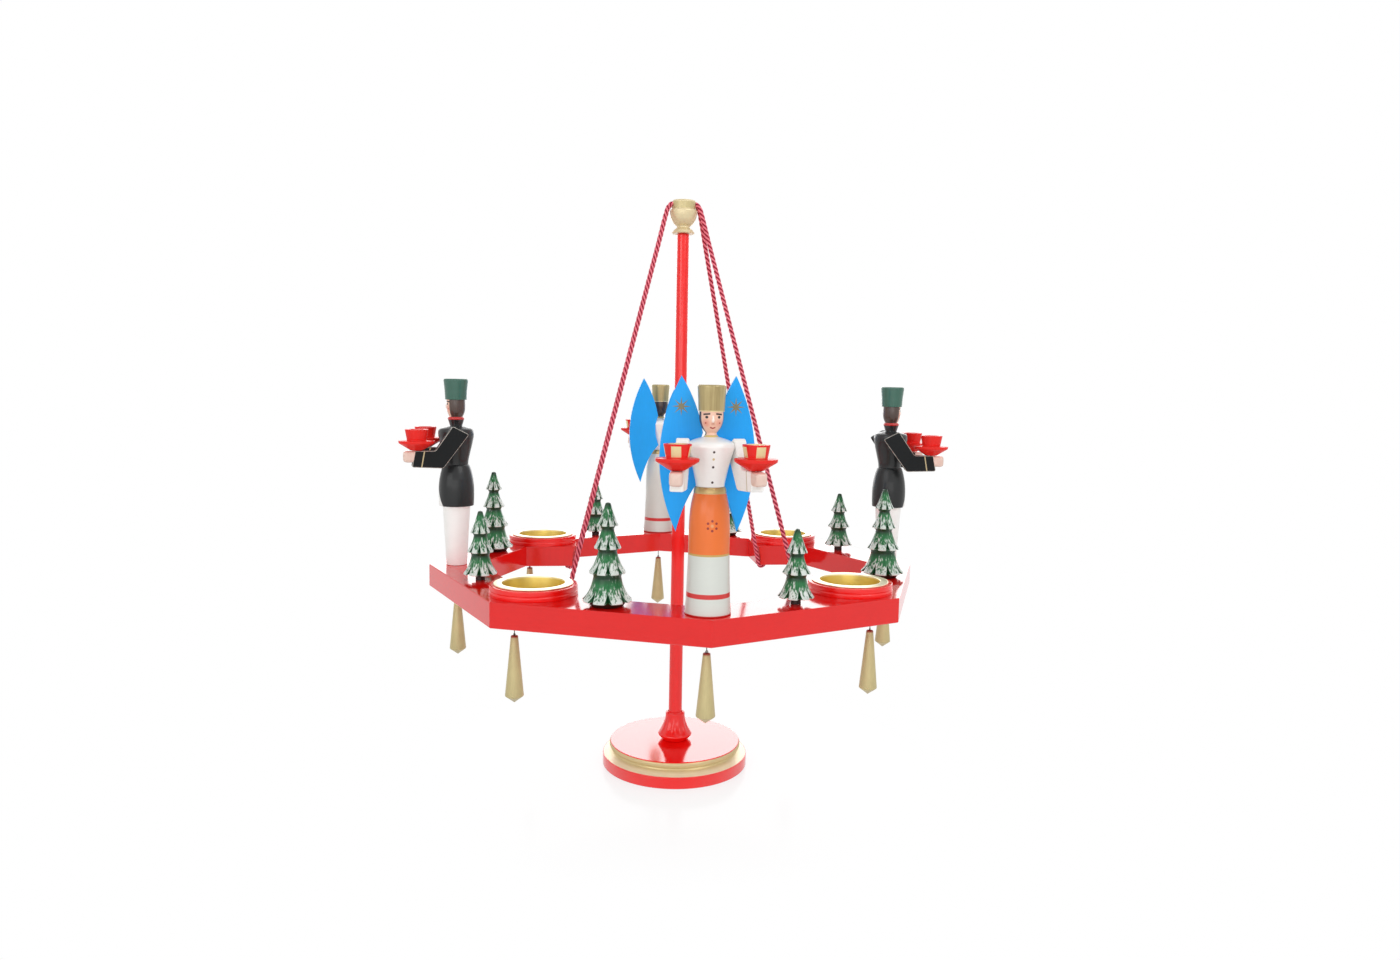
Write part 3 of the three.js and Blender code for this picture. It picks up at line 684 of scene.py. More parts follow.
POLE_PROFILE = [(0, 5.9), (5.1, 5.9), (5.1, 39.6), (4.98, 100), (4.78, 200), (4.58, 300), (4.4, 399)]
POLE_PROFILE += [(3, 399), (3, 407.3), (2.3, 408), (0, 408)]
add_piece("pole_turning", turned(eased(POLE_PROFILE, 0.2), 48), red_turned, "stand", "pole", "red_lacquer")
print("stand: base", len(BASE_PROFILE), "profile points, collar", FLUTES, "flutes")

# %% [markdown]
# ## Finial
# A gold goblet turns on the pole's spigot and carries the cords in one slot across its top. The
# goblet is a revolve, and a Boolean takes the slot out of it, because a saw cut across a turning is
# no surface of its own. Its result replaces the mesh at once, so no modifier is left.

# %% Carving helpers


def prism(outline, axis, ends):
    """An outline set at two places of an axis, with a wall between them and two caps."""
    points = np.concatenate([np.insert(outline, axis, end, axis=1) for end in ends])
    caps = np.arange(len(points)).reshape(2, -1)
    return points, [band_faces(2, len(outline)), caps], points


def trough(half, rise, length):
    """A bar along Y whose outline is a half circle below its middle and straight above it."""
    bend = np.linspace(math.pi, FULL_TURN, 17)
    outline = half * np.stack([np.cos(bend), np.sin(bend)], 1)
    return prism(np.concatenate([outline, [(half, rise), (-half, rise)]]), 1, (-length / 2, length / 2))


def bar(half_x, half_y, low, high):
    """A box about the Z axis between two heights."""
    corners = np.array([(-1.0, -1.0), (1, -1), (1, 1), (-1, 1)])
    return prism(corners * (half_x, half_y), 2, (low, high))


def tilted(form, angle):
    """The form turned about X."""
    x, y, z = form[0].T
    return listed(x, *rotated(y, z, angle)), form[1], form[2]


def faced(form, out, place):
    """The form turned about Z from -Y to a way outwards, and carried to a place."""
    x, y, z = form[0].T
    points = listed(-x * out[1] - y * out[0], x * out[0] - y * out[1], z)
    return points + place, form[1], form[2]


def carve(piece, form, sharp=30):
    """Take a closed form out of a piece."""
    saw = bpy.data.objects.new("saw", mesh_of("saw", form))
    bpy.context.scene.collection.objects.link(saw)
    cut = piece.modifiers.new("cut", "BOOLEAN")
    cut.operation = "DIFFERENCE"
    cut.solver = "EXACT"
    cut.object = saw
    carved = bpy.data.meshes.new_from_object(piece.evaluated_get(bpy.context.evaluated_depsgraph_get()))
    piece.modifiers.clear()
    piece.data = carved
    piece.data.set_sharp_from_angle(angle=math.radians(sharp))
    bpy.data.objects.remove(saw)


print("a trough has", len(trough(1, 1, 1)[0]), "points")

# %% Finial with its slot
FINIAL_TOP = 423.0
FINIAL_SLOT_HALF, FINIAL_SLOT_FLOOR = 3.6, 418.85
FINIAL_PROFILE = stacked(
    [(0, 408.6), (3.3, 408.6), (3.3, 399.3), (8, 399.3)],
    flowing([(8.3, 399.9), (7, 401.8), (4.9, 403.6), (4.9, 404.4), (6.8, 406.2), (8.6, 408.9)], 5),
    flowing([(8.6, 408.9), (9.5, 411.6), (9.9, 414), (9.95, 415.3), (9.6, 416.2), (8.6, 416.6)], 5)[1:],
    eased([(8.6, 416.6), (9.1, 422.2), (8.4, FINIAL_TOP), (0, FINIAL_TOP)], 0.4)[1:],
)
goblet = turned(FINIAL_PROFILE, 96)
finial = add_piece("finial_turning", goblet, gold_turned, "carousel", "finial", "gold_paint")
carve(finial, bar(16.0, FINIAL_SLOT_HALF, FINIAL_SLOT_FLOOR, FINIAL_TOP + 2))
print("finial:", len(finial.data.polygons), "faces with its slot")

# %% [markdown]
# ## Ring
# Eight mitred boards make the ring, with a square block behind each tea light corner and a turned
# disc with a fine groove on it. The ring could be an extruded curve with a bevel, but its blind bores
# and sockets would need Booleans. Here each outline is carried through rows of (inset, height), the
# outermost rows inset for a small chamfer, and the flats between the outlines are tessellated.

# %% Board helpers
RING_RADIUS = 183.2
RING_WIDTH = 32.8
CUP_RADIAL = 147.0
BLOCK_HALF = 28.2
CHAMFER = 0.5
MITRE = math.pi / 8


def inset(outline, distance):
    """The outline moved to its left: a corner moves by distance (n1 + n2) / (1 + n1 . n2), where n1
    and n2 are the left normals of its two edges."""
    edge = unit(np.roll(outline, -1, axis=0) - outline)
    after = np.stack([-edge[:, 1], edge[:, 0]], 1)
    before = np.roll(after, 1, axis=0)
    meet = 1 + np.sum(before * after, axis=1)[:, None]
    return outline + distance * (before + after) / meet


def wall(outline, rows):
    """The outline carried through rows of (inset, height), as a grid of quads."""
    levels = [np.insert(inset(outline, move), 2, height, axis=1) for move, height in rows]
    points = np.concatenate(levels)
    return points, [band_faces(len(rows), len(outline))], points


def flat(outlines, height):
    """The level face between outlines, filled with triangles."""
    triangles = np.array(tessellate_polygon([np.insert(one, 2, 0, axis=1).tolist() for one in outlines]))
    points = np.insert(np.concatenate(outlines), 2, height, axis=1)
    return points, [triangles], points


def circle(radius, sides, middle=(0.0, 0.0)):
    """A circle listed clockwise, so that its left side is the wood around the hole."""
    angle = -round_angles(sides)
    return listed(np.cos(angle), np.sin(angle)) * radius + np.array(middle)


def spun(points, times):
    """Copies of 2-D points turned about the middle by equal steps, in turn order."""
    x, y = np.asarray(points, float).T
    return listed(*rotated(x, y, round_angles(times)[:, None]))


print("an octagon inset by 1 has radius", round(float(inset(spun([(RING_RADIUS, 0)], 8), 1.0)[0, 0]), 2))

# %% Ring, blocks and discs
BORE_RADIUS, BORE_FLOOR = 21.1, 143.2
SOCKET_RADIUS, SOCKET_ROOF = 1.55, 140.9
ICICLE_RADIAL = 163.0
inner = RING_RADIUS * math.cos(MITRE) - RING_WIDTH
diagonal = CUP_RADIAL * math.sqrt(0.5)
face = diagonal - BLOCK_HALF
meet = (inner - face * math.sin(MITRE)) / math.cos(MITRE)
outer = spun([(RING_RADIUS, 0)], 8)
opening = spun([(inner / math.cos(MITRE), 0), (meet, face), (face, face), (face, meet)], 4)[::-1]
bores = [circle(BORE_RADIUS, 64, place) for place in spun([(diagonal, diagonal)], 4)]
sockets = [circle(SOCKET_RADIUS, 16, place) for place in spun([(ICICLE_RADIAL, 0)], 8)]

through = [(CHAMFER, RING_BOTTOM), (0, RING_BOTTOM + CHAMFER), (0, RING_TOP - CHAMFER), (CHAMFER, RING_TOP)]
rims = [inset(outer, CHAMFER), inset(opening, CHAMFER)]
ring_parts = [wall(outer, through), wall(opening, through)]
ring_parts += [flat(rims + bores, RING_TOP), flat(rims + sockets, RING_BOTTOM)]
for bore in bores:
    ring_parts += [wall(bore, [(0, BORE_FLOOR), (0, RING_TOP)]), flat([bore], BORE_FLOOR)]
for socket in sockets:
    ring_parts += [wall(socket, [(0, RING_BOTTOM), (0, SOCKET_ROOF)]), flat([socket], SOCKET_ROOF)]

ring_form = joined(*ring_parts)
ring = add_piece("ring_boards", ring_form, red_board, "carousel", "ring_frame", "red_lacquer", sharp=25)
print("ring:", len(ring.data.polygons), "faces,", len(bores), "bores,", len(sockets), "sockets")

# %% Cord slots and turned discs
SLOT_RADIUS, SLOT_SHIFT, HOLE_RADIUS = 2.6, 0.6, 2.2
board_middle = (RING_TOP + RING_BOTTOM) / 2
hole = tilted(turned([(0, -9), (HOLE_RADIUS, -9), (HOLE_RADIUS, 3.5), (0, 3.5)], 24), CORD_ENTRY)
for cord in CORDS.values():
    for foot in cord["feet"]:
        start, drop, out, lean = cord_fall(cord["aside"], foot)
        slot = tilted(trough(SLOT_RADIUS, 10.0, 26.0), -math.pi / 2 - lean)
        carve(ring, faced(slot, out, fall_place(start, drop, board_middle) + SLOT_SHIFT * out), 25)
        carve(ring, faced(hole, out, cord_half(cord["aside"], foot)[-2]), 25)

TEA_CORNERS = {"front_right": 1, "back_right": 3, "back_left": 5, "front_left": 7}
DISC_PROFILE = [(21.1, 154.6), (28.1, 154.6), (28.1, 157.1), (27.6, 157.6), (27.9, 158.1), (27.9, 161)]
disc = turned(stacked(eased(DISC_PROFILE + [(21.1, 161)], 0.45), DISC_PROFILE[:1]), 96)
for name, corner in TEA_CORNERS.items():
    at_cup = {"corner": corner, "at": (0, -CUP_RADIAL, 0)}
    add_piece("disc_" + name, disc, red_turned, "carousel", slot="red_lacquer", **at_cup)
print("ring after carving:", len(ring.data.polygons), "faces; discs:", len(TEA_CORNERS))

# %% [markdown]
# ## Tea light inserts
# A pressed brass tray lies loose in each bore, with a rolled flange over the disc. Brass is the one
# real metal here: fully metallic, with a fine spun grain that the noise stretches round the tray.

# %% Inserts
brass, shader, spot = new_finish("pressed brass", 0.4, metallic=1.0)
height = parts_of(spot)[2]
# Painted reflection: the flat flange is painted a much paler, near-white brass than the tray.
flange_reflection = stripe_of(height, 160.9, 164.0, 0.5)
tray = layer(flange_reflection, shade(230, 208, 124), shade(246, 236, 206))
spun_lines = brush(shader, spot, tray, (0.1, 0.1, 5.0), depth=0.06, relief=0.006)
feed(shader.inputs["Roughness"], count("MULTIPLY_ADD", spun_lines, 0.1, 0.34))
INSERT_PROFILE = [(0, 143.5), (20.3, 143.5), (20.6, 161.1), (25.2, 161.1), (25.2, 162), (20, 162)]
INSERT_PROFILE += [(19.7, 144.1), (0, 144.1)]
for name, corner in TEA_CORNERS.items():
    insert = turned(eased(INSERT_PROFILE, 0.42), 96)
    node = "insert_" + name
    add_piece(node + "_tray", insert, brass, node, node, "brass", corner=corner, at=(0, -CUP_RADIAL, 0))
print("inserts:", len(TEA_CORNERS), "of", len(INSERT_PROFILE), "profile corners")

# %% [markdown]
# ## Icicles
# A long gold cone with a short tip hangs on a wire under every corner, and swings. The cone is a
# revolve with upright fibres in its thin gold paint. The wire is a thin stalk with a round head, and
# a small eye stands on the cone where the wire goes through.

# %% Icicles
icicle_gold, shader, spot = new_finish("icicle gold", 0.42, metallic=0.25, coat=0.15)
height = parts_of(spot)[2]
# The top of the cone, just under the ring, is painted a dark red-brown.
cone_top = stripe_of(height, 129.2, 140.0, 1.0)
straw = layer(cone_top, shade(193, 179, 129), shade(150, 60, 40))
brush(shader, spot, straw, FIBRES, depth=0.24, relief=0.05)
gold_rough(shader, spot)
wire_finish, shader, spot = new_finish("dark wire", 0.35, metallic=0.9)
brush(shader, spot, shade(92, 84, 74), (3.0, 3.0, 0.6), depth=0.3, relief=0.01)

CONE = eased([(0, 87.1), (5.95, 91.6), (5.35, 97.8), (2.25, 130.2), (0.6, 130.4), (0, 130.4)], 0.5)
WIRE = eased([(0, 129.6), (0.3, 129.6), (0.3, 138.4), (0.95, 139.3), (0, 140.2)], 0.2)
EYE_HEIGHT, EYE_RADIUS, EYE_WIRE = 130.9, 0.75, 0.22


def eye(height):
    """A torus that stands upright: a small circle carried round a larger one in the XZ plane."""
    turn, small = np.linspace(0, FULL_TURN, 25)[:, None], np.linspace(0, FULL_TURN, 9)
    radius = EYE_RADIUS + EYE_WIRE * np.cos(small)
    points = listed(radius * np.cos(turn), EYE_WIRE * np.sin(small), height + radius * np.sin(turn))
    return points, [band_faces(25, 9)], points


CORNER_NAMES = ("front", "front_right", "right", "back_right", "back", "back_left", "left", "front_left")
for corner, name in enumerate(CORNER_NAMES):
    node = "icicle_" + name
    place = {"corner": corner, "at": (0, -ICICLE_RADIAL, 0)}
    add_piece(node + "_cone", turned(CONE, 40), icicle_gold, node, node, "gold_paint", **place)
    hanger = joined(turned(WIRE, 12), eye(EYE_HEIGHT))
    add_piece(node + "_wire", hanger, wire_finish, node, slot="gold_paint", **place)
print("icicles:", len(CORNER_NAMES))

# %% [markdown]
# ## Firs
# A carver turned these firs as stacked skirts and then cut V notches round every rim, so that each
# skirt ends in eight lobes, brushed with white. The surface is one grid: a profile of tiers, and an
# angle that folds into 0 on the middle of a lobe and 1 in a notch. A notch is open at the rim and
# closes to a point half-way up its skirt, and the deeper a point lies in it, the more it is pulled
# in. The spot keeps how far a point is past the notch's edge and how far down its skirt, which is
# what the white brush strokes need.

# %% Fir shapes
NOTCHES, LOBE_ROUND = 8, 0.1
NOTCH_WIDTH, NOTCH_CUT, NOTCH_RISE = 0.4, 0.27, 4.0
NOTCH_FROM = 0.42
TUCK_IN, TUCK_RISE = 0.84, 0.9
HEM_IN, HEM_DROP = 0.985, 0.25
FIR_COLUMNS = 24 * NOTCHES
FIR_RADIAL = RING_RADIUS * math.cos(MITRE) - RING_WIDTH / 2
LARGE_FIR = {
    "foot": [(9.2, 0), (10, 0.3)],
    "tiers": [
        [(15.2, 3.4), (11, 9.5), (8.4, 18)],
        [(11.2, 20.4), (7.9, 26.5), (5.6, 33.3)],
        [(8.3, 35.4), (5.5, 41.5), (3.7, 47)],
        [(6.3, 49.2), (3.9, 55), (1.7, 62)],
    ],
    "top": 63.0,
}
SMALL_FIR = {
    "foot": [(3.2, 0), (3.2, 2.6)],
    "tiers": [
        [(11.3, 4.2), (8, 10), (6, 16.8)],
        [(8.8, 19.2), (5.8, 25), (4.3, 30.2)],
        [(6.5, 32.2), (4, 38.5), (1.6, 46.2)],
    ],
    "top": 47.0,
}


def bow(start, middle, end, steps):
    """A parabola from start to end that passes through the middle half-way."""
    start, middle, end = (np.asarray(point, float) for point in (start, middle, end))
    return parabola(start, 2 * middle - (start + end) / 2, end, np.linspace(0, 1, steps)[:, None])


def fir_rows(shape):
    """Rows of (radius, height, drop): drop is 1 at a rim and 0 at a neck, and -1 below."""
    rows = [np.array([(0, 0, -1)] + [(r, z, -1) for r, z in shape["foot"]], float)]
    for rim, flare, neck in shape["tiers"]:
        tuck = (rim[0] * TUCK_IN, rim[1] + TUCK_RISE, 0.1)
        hem = (rim[0] * HEM_IN, rim[1] - HEM_DROP, 0.96)
        edge = eased([tuck, hem, (*rim, 1)], 0.3)
        side = bow((rim[0], rim[1] + 0.5, 0.98), (*flare, 0.5), (*neck, 0.0), 22)
        rows += [edge, side]
    tip = shape["tiers"][-1][2]
    rows.append(np.array([(tip[0] * 0.8, shape["top"] - 0.4, 0), (0, shape["top"], 0)], float))
    return np.concatenate(rows)


def fir(shape):
    """A revolve whose radius is r (1 - cut depth) and whose height is z + rise cut depth. With a
    folded angle of 0 on a lobe and 1 in a notch, and a notch that is as wide as w at this drop, the
    depth is (angle - 1 + w) / full width, where that is above 0, and each lobe is rounded a little
    by the square of the angle."""
    radius, height, drop = fir_rows(shape).T[:, :, None]
    angle = round_angles(FIR_COLUMNS)
    folded = 1 - 2 * np.abs(angle / FULL_TURN * NOTCHES % 1 - 0.5)
    wide = NOTCH_WIDTH * np.clip((drop - NOTCH_FROM) / (1 - NOTCH_FROM), 0, 1)
    past = folded - 1 + wide
    depth = np.maximum(past, 0) / NOTCH_WIDTH + LOBE_ROUND * np.clip(drop, 0, 1) * folded**2
    reach = radius * (1 - NOTCH_CUT * depth)
    lift = height + NOTCH_RISE * NOTCH_CUT * depth
    points = listed(reach * np.sin(angle), -reach * np.cos(angle), lift)
    return points, [band_faces(len(radius), FIR_COLUMNS)], listed(past, drop, lift)


print("large fir:", len(fir_rows(LARGE_FIR)), "rows of", FIR_COLUMNS, "points")

# %% Fir finish and planting
FIR_GLOSS = {"roughness": 0.36, "coat": 0.15, "coat_roughness": 0.12, "specular": 0.3}
fir_paint, shader, spot = new_finish("fir green and white", **FIR_GLOSS)
past, drop, _ = parts_of(spot)
place = new_node("TexCoord", spot).outputs["Object"]
streak = cloudy(place, (900.0, 900.0, 70.0), 4.0)
patch = cloudy(place, (210.0, 210.0, 120.0), 3.0)
green = layer(streak, shade(2, 66, 30), shade(40, 140, 76))
# Painted shade: the inside of each notch is painted a darker green, and the shadow mask below paints shade
# under every rim and at the necks.
inside = stripe_of(past, 0.02, 3.0, 0.05)
outside = count("SUBTRACT", 1.0, inside)
frost = count("MULTIPLY_ADD", drop, 1.0, count("MULTIPLY", streak, 2.6))
frost = count("MULTIPLY_ADD", patch, 0.8, frost)
frost = count("MULTIPLY", count("SUBTRACT", frost, 2.12), 2.6, clamp=True)
open_part = stripe_of(drop, 0.5, 3.0, 0.16)
lip = stripe_of(past, -0.11, 0.02, 0.06)
broken = count("MULTIPLY_ADD", streak, 2.6, -0.65, clamp=True)
lip = both(lip, open_part, broken)
hem = stripe_of(drop, 0.955, 1.1, 0.03)
white = count("MULTIPLY", count("MAXIMUM", frost, count("MAXIMUM", lip, hem)), outside)
thin = count("MULTIPLY_ADD", patch, 0.5, 0.5)
white = count("MULTIPLY", white, thin, clamp=True)
shadow = stripe_of(drop, -2.0, 0.12, 0.2)
bark = stripe_of(drop, -2.0, -0.3, 0.2)
painted = coats(
    green,
    (inside, shade(10, 72, 36)),
    (shadow, shade(8, 52, 26)),
    (white, shade(242, 246, 243)),
    (bark, shade(46, 30, 26)),
)
feed(shader.inputs["Base Color"], painted)
feed(shader.inputs["Roughness"], count("MULTIPLY_ADD", streak, 0.2, 0.26))
emboss(shader, count("MULTIPLY_ADD", white, 0.5, streak), 0.22)

for side in range(8):
    size, shape = (("small", SMALL_FIR), ("large", LARGE_FIR))[side % 2]
    node = f"fir_{size}_{side // 2 + 1}"
    stand_at = {"corner": side + 0.5, "at": (0, -FIR_RADIAL, RING_TOP + 0.1), "sharp": 32}
    add_piece(node + "_carved", fir(shape), fir_paint, "carousel", node, "fir_green", **stand_at)
print("firs: 8, each with", NOTCHES, "lobes on every tier")

# %% [markdown]
# ## Candle cups
# Each hand carries a saucer with a cup for a thin candle, turned in one piece. The angels' cups have
# four gold panels round the cup and gold inside the rim, the miners' cups are plain red. A panel is
# a stripe of the angle, folded so that one stripe serves all four, and the spots are turned with the
# arm so that one panel looks straight out along it.

# %% Cups
CUP_PROFILE = [(0, 0), (4.2, 0), (12.2, 5), (12.4, 6.8), (6.6, 7.2), (8, 14.8), (5.3, 14.8), (5.3, 8), (0, 8)]
ARM_SPLAY = math.radians(13)


def cup(side):
    """The cup's revolve, with its spots turned back by the splay of the arm that carries it."""
    points, faces, _ = turned(eased(CUP_PROFILE, 0.35), 64)
    x, y, z = points.T
    return points, faces, listed(*rotated(x, y, -side * ARM_SPLAY), z)


CUP_RED = shade(232, 42, 36)
CUP_GLOSS = {"roughness": 0.3, "coat": 0.4, "coat_roughness": 0.15, "specular": 0.0}
CUP_GRAIN = {"stretch": RINGS, "depth": 0.14, "relief": 0.01}
cup_paint, shader, spot = new_finish("cup with gold panels", **CUP_GLOSS)
across, depth, height = parts_of(spot)
around = use(fold, Across=across, Up=depth, Half=math.pi / 4)["Beside"]
panel = stripe_of(around, -1.0, 2.8, 0.25)
tall = stripe_of(height, 7.6, 13.7, 0.25)
inside = stripe_of(height, 7.6, 16.0, 0.2)
bore_mask = use(dot, Across=across, Up=depth, Radius=5.6, Soft=0.2)["Mask"]
gilt = count("MULTIPLY", panel, tall)
gilt = count("MAXIMUM", gilt, count("MULTIPLY", inside, bore_mask))
brush(shader, spot, layer(gilt, CUP_RED, shade(230, 212, 160)), **CUP_GRAIN)
feed(shader.inputs["Metallic"], count("MULTIPLY", gilt, 0.3))
plain_cup, shader, spot = new_finish("plain red cup", **CUP_GLOSS)
brush(shader, spot, CUP_RED, **CUP_GRAIN)
print("cup profile:", len(CUP_PROFILE), "corners, eased to", len(eased(CUP_PROFILE)), "points")

# %% [markdown]
# ## Sawn boards: sleeves and wings
# The arms and wings are sawn from boards and only softened at their edges. They use the ring's
# helpers: an outline, carried through (inset, height) rows with a small chamfer, then stood up. Their
# spots stay in the board's own plane, so that a cuff stripe or a star is drawn flat on it.

# %% Board and hand shapes
ARM_THICKNESS = 7.6
ARM_PIVOT = -3.0
ANGEL_WAIST, ANGEL_SHOULDER = 75.4, 15.8
MINER_WAIST, MINER_SHOULDER = 73.7, 15.0
CUFF_END, CUFF_SLANT = (29, -0.5), 2 / 11.5
SLEEVE = [(1, 28.5), (-10.5, 22.5), (7.5, -1.5), CUFF_END, (27, 11), (13, 11)]
HAND_CENTRE, HAND_RADII = (28.4, 6.9), (6.3, 4.1, 3.75)
WING_THICKNESS, WING_BACK = 2.4, 10.0
WING_SWEEP = math.radians(7)


def sawn(outline, thickness, chamfer):
    """A board of an outline listed anticlockwise, as high as its thickness."""
    rows = [(chamfer, 0), (0, chamfer), (0, thickness - chamfer), (chamfer, thickness)]
    trimmed = inset(outline, chamfer)
    return joined(wall(outline, rows), flat([trimmed], 0), flat([trimmed], thickness))


def closed_eased(corners, reach):
    """A closed outline with its corners eased: the line starts and ends half-way along an edge."""
    corners = np.asarray(corners, float)
    middle = (corners[:1] + corners[-1:]) / 2
    return eased(np.concatenate([middle, corners, middle]), reach, 5)[:-1]


def arm_place(points, waist, lateral, side):
    """Board points (forward, height, across) stood up, splayed outwards and set beside the body."""
    forward, height, across = points.T
    x, y = rotated(-across, -forward + ARM_PIVOT, side * ARM_SPLAY)
    return listed(x + side * lateral, y - ARM_PIVOT, height + waist)


def sleeve(waist, lateral, side):
    """The sleeve board; its spots are the distance from the cuff, the height and the depth."""
    points, faces, _ = sawn(closed_eased(SLEEVE, 1.6), ARM_THICKNESS, 0.55)
    points = points - (0, 0, ARM_THICKNESS / 2)
    forward, height, depth = points.T
    cuff = CUFF_END[0] - forward - (height - CUFF_END[1]) * CUFF_SLANT
    return arm_place(points, waist, lateral, side), faces, listed(cuff, height, depth)


def rounded(rows, columns, power, radii):
    """A ball or rounded block: cosines and sines of two angles, each to a power, times three radii."""
    lift = np.linspace(-math.pi / 2, math.pi / 2, rows)[:, None]
    turn = np.linspace(0, FULL_TURN, columns)
    axes = (np.cos(lift), np.sin(lift), np.cos(turn), np.sin(turn))
    wide, rise, along, across = (np.sign(axis) * np.abs(axis) ** power for axis in axes)
    return listed(wide * along, wide * across, rise) * radii, [band_faces(rows, columns)]


def hand(waist, lateral, side):
    """A rounded block at the end of the sleeve."""
    block, faces = rounded(25, 49, 0.4, HAND_RADII)
    block = block + (*HAND_CENTRE, 0)
    return arm_place(block, waist, lateral, side), faces, block


def wing(side):
    """A leaf outline of parabolas, hollowed beside the torso and swept back by a small angle."""
    t = np.linspace(0, 1, 24, endpoint=False)[:, None]
    ends = np.array([(16.6, 139.7), (3.4, 106), (2.6, 80), (18.7, 46.7)])
    pulls = np.array([(6.5, 124), (8, 94), (13, 70), (40.4, 93)])
    arcs = [parabola(*arc, t) for arc in zip(ends, pulls, np.roll(ends, -1, axis=0))]
    points, faces, _ = sawn(np.concatenate(arcs), WING_THICKNESS, 0.3)
    lateral, height, depth = points.T
    x, y = rotated(side * lateral, WING_THICKNESS - depth, side * WING_SWEEP)
    return listed(x, y + WING_BACK, height), faces, points


print("sleeve points:", len(sleeve(ANGEL_WAIST, ANGEL_SHOULDER, 1)[0]), "wing points:", len(wing(1)[0]))

# %% [markdown]
# ## Angel paint
# White bodies, a gold hat, an orange apron with a gold hem and a ring of red dots, buttons, and a
# red line round the foot. Each mark is a mask of the spot: a stripe of the height, a dot at a place,
# or the folded ring for the six dots round the apron's middle. The same masks paint both angels.

# %% Skirt and bodice finishes
WHITE = shade(246, 246, 243)
# Painted shade: the skirt's white is greyer than the bodice's white, though both are the same white paint.
SKIRT_SHADED_WHITE = shade(212, 216, 209)
SKIN = shade(240, 196, 172)
DARK = shade(58, 30, 26)
BLACK = shade(27, 29, 30)
APRON_FOOT, BELT_FOOT, POSY_LEVEL = 36, 71.6, 53.5
ANGEL_RIM, MINER_RIM, COAT_HEM = 119.0, 120.6, 43.65

skirt_paint, shader, spot = new_finish("angel skirt", 0.4, coat=0.3, coat_roughness=0.12)
across, height, turn = facing(spot)
front = stripe_of(turn, -1, 88, 1.0)
up = count("SUBTRACT", height, POSY_LEVEL)
posy = use(fold, Across=up, Up=across, Half=math.pi / 6)
petals = dot_at(posy["Along"], posy["Beside"], 2.85, 0, 0.72)
middle = dot_at(across, height, 0, POSY_LEVEL, 1.1, 1.2)
belt = stripe_of(height, BELT_FOOT, 80)
paint = coats(
    SKIRT_SHADED_WHITE,
    (stripe_of(height, -1, 0.9), shade(196, 44, 40)),
    (stripe_of(height, 10.6, 13.4, 0.3), shade(206, 40, 38)),
    (both(front, stripe_of(height, APRON_FOOT, BELT_FOOT)), shade(232, 111, 28)),
    (both(front, stripe_of(height, APRON_FOOT - 0.6, APRON_FOOT + 0.6)), shade(196, 160, 84)),
    (both(front, petals), shade(142, 30, 14)),
    (both(front, middle, middle), shade(228, 162, 104)),
    (belt, shade(186, 160, 108)),
)
brush(shader, spot, paint, RINGS, depth=0.06, relief=0.015)
feed(shader.inputs["Metallic"], count("MULTIPLY", belt, 0.8))

bodice_paint, shader, spot = new_finish("angel bodice", 0.32, coat=0.5, coat_roughness=0.08)
across, height, turn = facing(spot)
front = stripe_of(turn, -1, 80, 1.0)
buttons = ((96.2, DARK), (92.0, shade(214, 190, 140)), (87.4, DARK), (78.4, DARK))
paint = coats(
    WHITE,
    (stripe_of(height, 104.3, 110), shade(214, 186, 108)),
    *((both(front, dot_at(across, height, 0, level, 0.72)), tone) for level, tone in buttons),
)
brush(shader, spot, paint, RINGS, depth=0.06, relief=0.015)
print("skirt nodes:", len(skirt_paint.node_tree.nodes))

# %% [markdown]
# ## Heads
# The heads are turned pegs with a small nose and a painted doll's face: brows under the hat, dots
# for eyes, a blush, a small mouth. The face is painted on the front only. Hair covers the rest, more
# of it on the miners. The two hats differ in colour: gold on the angels, dark green on the miners.

# %% Head finishes


